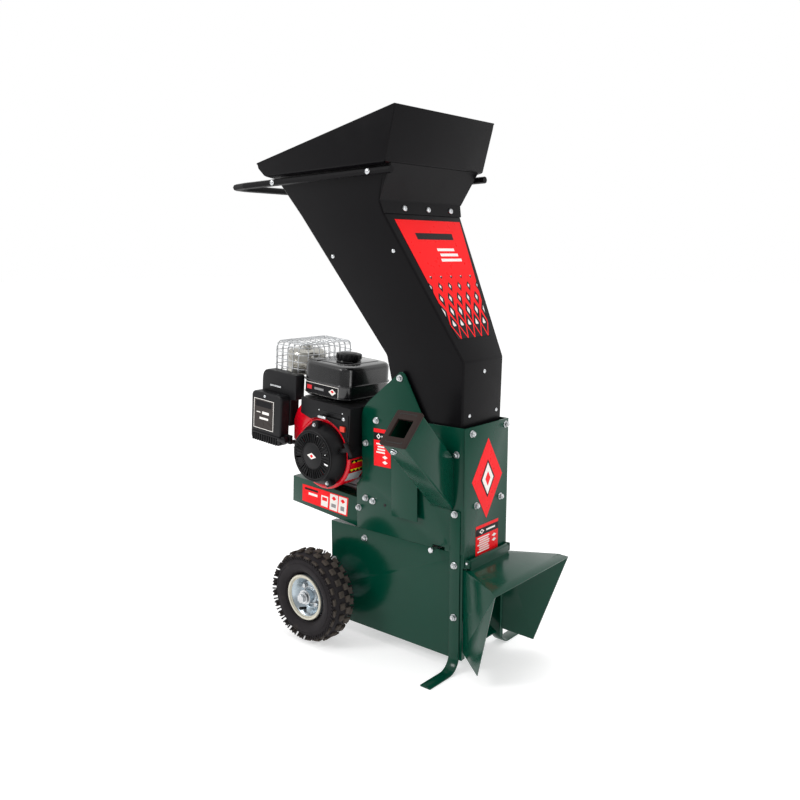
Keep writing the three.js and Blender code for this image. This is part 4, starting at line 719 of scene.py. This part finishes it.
# ---- Printed labels: plain generic fields, bars and shapes, with no lettering.
def patch_mask(tree, u, v, shape):
    """1 inside a rectangle (u, v, half width, half height) or a lozenge of the same measures."""
    kind, cu, cv, hw, hh = shape
    far_u = add_node(tree, "ShaderNodeMath", {0: add_node(tree, "ShaderNodeMath", {0: u, 1: cu}, operation="SUBTRACT").outputs[0]}, operation="ABSOLUTE").outputs[0]
    far_v = add_node(tree, "ShaderNodeMath", {0: add_node(tree, "ShaderNodeMath", {0: v, 1: cv}, operation="SUBTRACT").outputs[0]}, operation="ABSOLUTE").outputs[0]
    if kind == "lozenge":
        a = add_node(tree, "ShaderNodeMath", {0: far_u, 1: hw}, operation="DIVIDE").outputs[0]
        b = add_node(tree, "ShaderNodeMath", {0: far_v, 1: hh}, operation="DIVIDE").outputs[0]
        total = add_node(tree, "ShaderNodeMath", {0: a, 1: b}, operation="ADD").outputs[0]
        return add_node(tree, "ShaderNodeMath", {0: total, 1: 1.0}, operation="LESS_THAN").outputs[0]
    a = add_node(tree, "ShaderNodeMath", {0: far_u, 1: hw}, operation="LESS_THAN").outputs[0]
    b = add_node(tree, "ShaderNodeMath", {0: far_v, 1: hh}, operation="LESS_THAN").outputs[0]
    return add_node(tree, "ShaderNodeMath", {0: a, 1: b}, operation="MULTIPLY").outputs[0]


def print_of(name, base, patches, rough=0.3):
    material, tree, shader = start_material(name)
    spot = add_node(tree, "ShaderNodeSeparateXYZ", {0: add_node(tree, "ShaderNodeTexCoord").outputs["UV"]})
    u, v = spot.outputs[0], spot.outputs[1]
    colour = mixed(tree, between(tree, noise(tree, 40.0), 0.0, 1.0), shaded(base, 0.94), shaded(base, 1.05))
    for code, *shape in patches:
        colour = mixed(tree, patch_mask(tree, u, v, shape), colour, linear(code))
    tree.links.new(colour, shader.inputs["Base Color"])
    tree.links.new(between(tree, noise(tree, 60.0), rough - 0.05, rough + 0.05), shader.inputs["Roughness"])
    shader.inputs["Specular IOR Level"].default_value = 0.12
    bump = add_node(tree, "ShaderNodeBump", {"Height": noise(tree, 500.0), "Strength": 0.03, "Distance": 0.0001})
    tree.links.new(bump.outputs["Normal"], shader.inputs["Normal"])
    return material


def label(name, corners, material, body, slot, thick=0.0004, cells=6, edge=0.0):
    """A thin printed sheet stretched over four corners: top left, top right, bottom right, bottom left, as seen."""
    bpy.ops.mesh.primitive_grid_add(x_subdivisions=cells, y_subdivisions=cells, size=1)
    piece = settle(name)
    tl, tr, br, bl = (Vector(c) for c in corners)
    for v in piece.data.vertices:
        a, b = v.co.x + 0.5, v.co.y + 0.5
        v.co = (bl.lerp(br, a)).lerp(tl.lerp(tr, a), b)
    modify(piece, "SOLIDIFY", thickness=thick, offset=1.0)
    piece.data.materials.append(material)
    return give(piece, body, slot, True)


RED, PALE, INK, GREY = "#F51820", "#F3EFEA", "#121114", "#8F8F90"


def lines(u, top, count, step, half_width, half_height, code):
    return [(code, "bar", u + 0.02 * ((i * 7) % 3 - 1), top - i * step, half_width * (1 - 0.12 * ((i * 5) % 3)), half_height) for i in range(count)]


side_y = -HALF - 0.15
SIDE_LABEL = print_of("side_label_print", RED, [
    (INK, "bar", 0.5, 0.80, 0.5, 0.10), (PALE, "lozenge", 0.28, 0.80, 0.12, 0.075), (INK, "lozenge", 0.28, 0.80, 0.06, 0.035),
    (PALE, "bar", 0.66, 0.80, 0.20, 0.025), *lines(0.42, 0.60, 4, 0.075, 0.26, 0.02, PALE),
    (PALE, "lozenge", 0.66, 0.26, 0.16, 0.05), (PALE, "lozenge", 0.66, 0.12, 0.16, 0.05),
])
label("side_label", [at(-293, side_y, 592), at(-235, side_y, 592), at(-235, side_y, 492), at(-293, side_y, 492)], SIDE_LABEL, "chassis", "green_enamel")
front_x = 0.15
FRONT_LABEL = print_of("front_label_print", RED, [
    (INK, "bar", 0.5, 0.78, 0.5, 0.12), (PALE, "lozenge", 0.26, 0.78, 0.11, 0.08), (INK, "lozenge", 0.26, 0.78, 0.055, 0.04),
    (PALE, "bar", 0.66, 0.78, 0.20, 0.03), *lines(0.36, 0.58, 7, 0.075, 0.26, 0.022, PALE),
    (PALE, "lozenge", 0.82, 0.50, 0.10, 0.06), (PALE, "lozenge", 0.82, 0.34, 0.10, 0.06),
])
label("front_label", [at(front_x, -45, 370), at(front_x, 55, 370), at(front_x, 55, 291), at(front_x, -45, 291)], FRONT_LABEL, "chassis", "green_enamel")
DIAMOND = print_of("diamond_print", RED, [])
diamond = label("front_diamond", [at(front_x, 4, 590), at(front_x, 69, 487), at(front_x, 0, 383), at(front_x, -65, 488)], DIAMOND, "chassis", "green_enamel")
MARK = print_of("diamond_mark_print", PALE, [])
EDGE = print_of("diamond_mark_edge_print", INK, [])
for name, material, half, tall, lift in (("edge", EDGE, 31, 49, 0.5), ("face", MARK, 25, 41, 0.8), ("middle", DIAMOND, 11, 19, 1.1)):
    spots = [at(front_x + lift, 3 + a * half, 486 + b * tall) for a, b in ((0, 1), (1, 0), (0, -1), (-1, 0))]
    label("front_diamond_" + name, spots, material, "chassis", "green_enamel", 0.0003, 2)

# The hopper's label: a plain red field over a net of lozenges that thins out downwards.
def slope(y, t):
    return at(-204 + 190 * t, y, 1138 - 352 * t) + Vector((352, 0, 190)).normalized() * 0.0005


HOPPER_PRINT, tree, shader = start_material("hopper_label_print")
spot = add_node(tree, "ShaderNodeSeparateXYZ", {0: add_node(tree, "ShaderNodeTexCoord").outputs["UV"]})
u, v = spot.outputs[0], spot.outputs[1]


def math_node(operation, *values, clamp=False):
    made = add_node(tree, "ShaderNodeMath", dict(enumerate(values)), operation=operation)
    made.use_clamp = clamp
    return made.outputs[0]


down = math_node("DIVIDE", math_node("SUBTRACT", 0.52, v), 0.52)  # 0 where the net starts, 1 at the bottom
along = math_node("MULTIPLY", u, 5.0)
rows = math_node("MULTIPLY", math_node("POWER", math_node("MAXIMUM", down, 0.0), 0.9), 2.5)
a = math_node("FRACT", math_node("ADD", along, math_node("ADD", rows, 20.0)))
b = math_node("FRACT", math_node("ADD", math_node("SUBTRACT", along, rows), 20.0))
off_a = math_node("ABSOLUTE", math_node("SUBTRACT", a, 0.5))
off_b = math_node("ABSOLUTE", math_node("SUBTRACT", b, 0.5))
widest = math_node("MAXIMUM", off_a, off_b)  # 0.5 on the net's lines and 0 in the middle of a lozenge
opening = add_node(tree, "ShaderNodeMapRange", {"Value": down, "From Min": 0.0, "From Max": 0.75, "To Min": 0.16, "To Max": 0.44}).outputs["Result"]
inside = math_node("MULTIPLY", math_node("LESS_THAN", widest, opening), math_node("GREATER_THAN", down, 0.0))
core = math_node("MULTIPLY", inside, math_node("LESS_THAN", widest, math_node("MULTIPLY", opening, 0.42)))
core = math_node("MULTIPLY", core, math_node("LESS_THAN", down, 0.80))
tail = math_node("MULTIPLY", math_node("GREATER_THAN", down, 0.88), math_node("LESS_THAN", widest, 0.43))
colour = mixed(tree, inside, linear("#FA0810"), linear("#161517"))
colour = mixed(tree, tail, colour, linear("#161517"))
colour = mixed(tree, core, colour, linear("#E9E4E2"))
for shape in (("bar", 0.50, 0.86, 0.30, 0.028), ("bar", 0.60, 0.745, 0.15, 0.012), ("bar", 0.63, 0.70, 0.16, 0.012), ("bar", 0.64, 0.655, 0.19, 0.012)):
    colour = mixed(tree, patch_mask(tree, u, v, shape), colour, linear("#1A1718" if shape[2] > 0.8 else "#F4EFEC"))
tree.links.new(colour, shader.inputs["Base Color"])
tree.links.new(between(tree, noise(tree, 60.0), 0.26, 0.36), shader.inputs["Roughness"])
shader.inputs["Specular IOR Level"].default_value = 0.12
bump = add_node(tree, "ShaderNodeBump", {"Height": noise(tree, 500.0), "Strength": 0.03, "Distance": 0.0001})
tree.links.new(bump.outputs["Normal"], shader.inputs["Normal"])
label("hopper_label", [slope(-126, 0.040), slope(142, 0.040), slope(72, 0.85), slope(-72, 0.85)], HOPPER_PRINT, "chassis", "black_powder_coat", 0.0004, 24)

# Platform, tank, air cleaner and shroud labels.
deck_low, deck_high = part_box("engine_platform")
deck_y = (deck_low.y - ORIGIN.y) / MM - 0.1
PLATFORM_LABEL = print_of("platform_label_print", RED, [
    (INK, "bar", 0.20, 0.80, 0.15, 0.06), (PALE, "bar", 0.24, 0.55, 0.10, 0.07), (PALE, "bar", 0.50, 0.40, 0.075, 0.30), (RED, "bar", 0.50, 0.52, 0.055, 0.10),
    (PALE, "bar", 0.70, 0.50, 0.085, 0.44), (RED, "lozenge", 0.70, 0.72, 0.05, 0.12), (GREY, "bar", 0.70, 0.32, 0.05, 0.10),
    (PALE, "bar", 0.89, 0.50, 0.085, 0.44), (RED, "lozenge", 0.89, 0.72, 0.05, 0.12), (GREY, "bar", 0.89, 0.32, 0.04, 0.12),
])
label("platform_label", [at(-569, deck_y, 392), at(-390, deck_y, 383), at(-396, deck_y, 329), at(-572, deck_y, 343)], PLATFORM_LABEL, "chassis", "green_enamel")
TANK_LABEL = print_of("tank_label_print", INK, [
    (PALE, "bar", 0.5, 0.5, 0.5, 0.5), (INK, "bar", 0.5, 0.5, 0.488, 0.455), ("#E0343B", "bar", 0.13, 0.55, 0.07, 0.18), (GREY, "bar", 0.42, 0.52, 0.14, 0.10),
    (PALE, "lozenge", 0.82, 0.5, 0.11, 0.30), (RED, "lozenge", 0.82, 0.56, 0.05, 0.14),
])
tank_y = -108.4
label("tank_label", [on_engine(-94, tank_y, 185), on_engine(32, tank_y, 185), on_engine(32, tank_y, 154), on_engine(-94, tank_y, 154)], TANK_LABEL, "chassis", "tank_plastic")
CLEANER_LABEL = print_of("cleaner_label_print", "#3A3533", [
    (PALE, "bar", 0.5, 0.5, 0.5, 0.5), ("#3A3533", "bar", 0.5, 0.5, 0.478, 0.482), (INK, "bar", 0.5, 0.84, 0.40, 0.10),
    (PALE, "bar", 0.24, 0.55, 0.10, 0.015), (PALE, "bar", 0.60, 0.55, 0.17, 0.045), (PALE, "bar", 0.52, 0.36, 0.22, 0.035),
])
label("cleaner_label", [on_engine(-240, -165.2, 118), on_engine(-158, -165.2, 118), on_engine(-158, -165.2, 32), on_engine(-240, -165.2, 32)], CLEANER_LABEL, "chassis", "black_moulding")
SHROUD_LABEL = print_of("shroud_label_print", "#E6D21E", [
    (INK, "bar", 0.5, 0.5, 0.5, 0.5), ("#E6D21E", "lozenge", 0.25, 0.68, 0.20, 0.26), ("#E6D21E", "bar", 0.72, 0.70, 0.2, 0.16),
    ("#E6D21E", "lozenge", 0.2, 0.22, 0.15, 0.2), ("#E6D21E", "lozenge", 0.5, 0.22, 0.15, 0.2), ("#E6D21E", "lozenge", 0.8, 0.22, 0.15, 0.2),
])
PLATE_PRINT = print_of("serial_plate_print", "#B9BBBD", lines(0.5, 0.8, 4, 0.2, 0.36, 0.03, GREY))
label("shroud_label", [on_engine(97.2, -116, 0), on_engine(97.2, -66, 0), on_engine(91, -66, -34), on_engine(91, -116, -34)], SHROUD_LABEL, "chassis", "red_shroud", 0.0006)
label("shroud_plate", [on_engine(90, -116, -38), on_engine(90, -60, -38), on_engine(76, -60, -62), on_engine(76, -116, -62)], PLATE_PRINT, "chassis", "red_shroud", 0.0006)
hub_mark = label("starter_mark", [on_engine(0, -168, 9), on_engine(17, -168, 0), on_engine(0, -168, -9), on_engine(-17, -168, 0)], print_of("starter_mark_print", PALE, []), "chassis", "black_moulding", 0.0004, 2)
hub_dot = label("starter_mark_middle", [on_engine(0, -168.3, 5), on_engine(6, -168.3, 0), on_engine(0, -168.3, -5), on_engine(-6, -168.3, 0)], print_of("starter_middle_print", RED, []), "chassis", "black_moulding", 0.0004, 2)


# ---- Sheet details: weld beads, and painted shade for the mouth guard's slots and for a drilled hole.
def weld(name, points, radius, pitch=0.0035):
    """A row of overlapping ripples, as a hand-laid weld leaves."""
    spots = []
    for a, b in zip(points, points[1:]):
        count = max(2, int((b - a).length / pitch))
        spots += [facing(a.lerp(b, (i + 0.5) / count), b - a) for i in range(count)]
    bpy.ops.mesh.primitive_uv_sphere_add(segments=12, ring_count=8, radius=radius, scale=(1, 1, 0.72))
    return give(copies(name, smooth(settle("ripple"), 60), spots), "chassis", "green_enamel")


foot_z = 420.3
weld("chute_foot_weld", [at(-32, -HALF, foot_z), at(-105, -HALF, foot_z)], 0.0026)
# Dark rubber blocks on the mouth guard: painted shade where its slots open into the chute.
slots = []
for across in (6.5, 87.5):
    slot_piece = cuboid("slot", (-0.024, -0.0012, -0.0006), (0.024, 0.0012, 0.0006), 0.0004, 1)
    slot_piece.data.transform(Matrix.Translation(on_chute(0, across, 272.3)) @ CHUTE_TURN)
    slots.append(slot_piece)
for x in (-24, 24):
    for across in (8.5, 85.5):
        slot_piece = cuboid("slot", (-0.0012, -0.003, -0.0006), (0.0012, 0.003, 0.0006), 0.0004, 1)
        slot_piece.data.transform(Matrix.Translation(on_chute(x, across, 272.3)) @ CHUTE_TURN)
        slots.append(slot_piece)
give(fuse("mouth_guard_slot_shade", slots), "chassis", "belt_rubber")
# A dark disc on the near plate: painted shade standing in for a drilled hole.
hole = disc("plate_hole_shade", 0.0042, 0.0006, 24, 0.0, 0.0002)
hole.data.transform(facing(at(-256, -HALF - 0.05, 389), OUT[-1]))
give(hole, "chassis", "belt_rubber")
fold = tube("front_fold_line", [at(-1.2, -HALF - 0.1, 318), at(-1.2, -HALF - 0.1, 624)], 0.0011)
give(fold, "chassis", "green_enamel")


# ---- Stage, light and camera.
def plain(name, code, rough):
    material, tree, shader = start_material(name)
    colour = mixed(tree, noise(tree, 2.0), shaded(code, 0.99), linear(code))
    tree.links.new(colour, shader.inputs["Base Color"])
    shader.inputs["Roughness"].default_value = rough
    return material


bpy.ops.mesh.primitive_plane_add(size=60, location=(0, 0, -0.0005))
floor = settle("floor")
floor_paint = plain("floor_paint", "#D8D8D8", 0.9)
floor_shader = floor_paint.node_tree.nodes["Principled BSDF"]
floor_shader.inputs["Emission Color"].default_value = (1.0, 1.0, 1.0, 1.0)
floor_shader.inputs["Emission Strength"].default_value = 0.5
floor.data.materials.append(floor_paint)

world = bpy.data.worlds.new("studio")
bpy.context.scene.world = world
world.use_nodes = True
background = world.node_tree.nodes["Background"]
toward = add_node(world.node_tree, "ShaderNodeTexCoord").outputs["Generated"]
ahead = add_node(world.node_tree, "ShaderNodeVectorMath", {0: toward, 1: (-0.60, 0.72, 0.35)}, operation="DOT_PRODUCT").outputs["Value"]
# A bright wall behind and above the machine and a dim room in front of it.
strength = add_node(
    world.node_tree, "ShaderNodeMapRange", {"Value": ahead, "From Min": -0.35, "From Max": 0.35, "To Min": 0.4, "To Max": 1.0}
).outputs["Result"]
background.inputs["Color"].default_value = (1.0, 1.0, 1.0, 1.0)
world.node_tree.links.new(strength, background.inputs["Strength"])


def lamp(name, place, target, size, power, tall=None):
    data = bpy.data.lights.new(name, "AREA")
    data.energy = power
    data.shape = "RECTANGLE"
    data.size, data.size_y = size, tall or size
    made = bpy.data.objects.new(name, data)
    made.matrix_world = Matrix.Translation(place) @ (Vector(target) - Vector(place)).to_track_quat("-Z", "Y").to_matrix().to_4x4()
    bpy.context.scene.collection.objects.link(made)


lamp("key", (-1.6, -3.0, 2.8), (0, 0, 0.6), 1.2, 62)
lamp("front_fill", (3.4, -0.6, 1.8), (0, 0, 0.6), 1.2, 26, 2.6)
lamp("top", (0.3, 0.2, 3.6), (0, 0, 0.6), 1.8, 34)

camera_data = bpy.data.cameras.new("camera")
camera_data.sensor_width = 36.0
camera_data.lens = 38.34
camera = bpy.data.objects.new("camera", camera_data)
camera.location = at(1158, -1734, 1041)
camera.rotation_euler = (math.radians(80.28), 0, math.radians(39.73))
bpy.context.scene.collection.objects.link(camera)
bpy.context.scene.camera = camera
bpy.context.scene.view_settings.view_transform = "Standard"

bpy.context.view_layer.update()
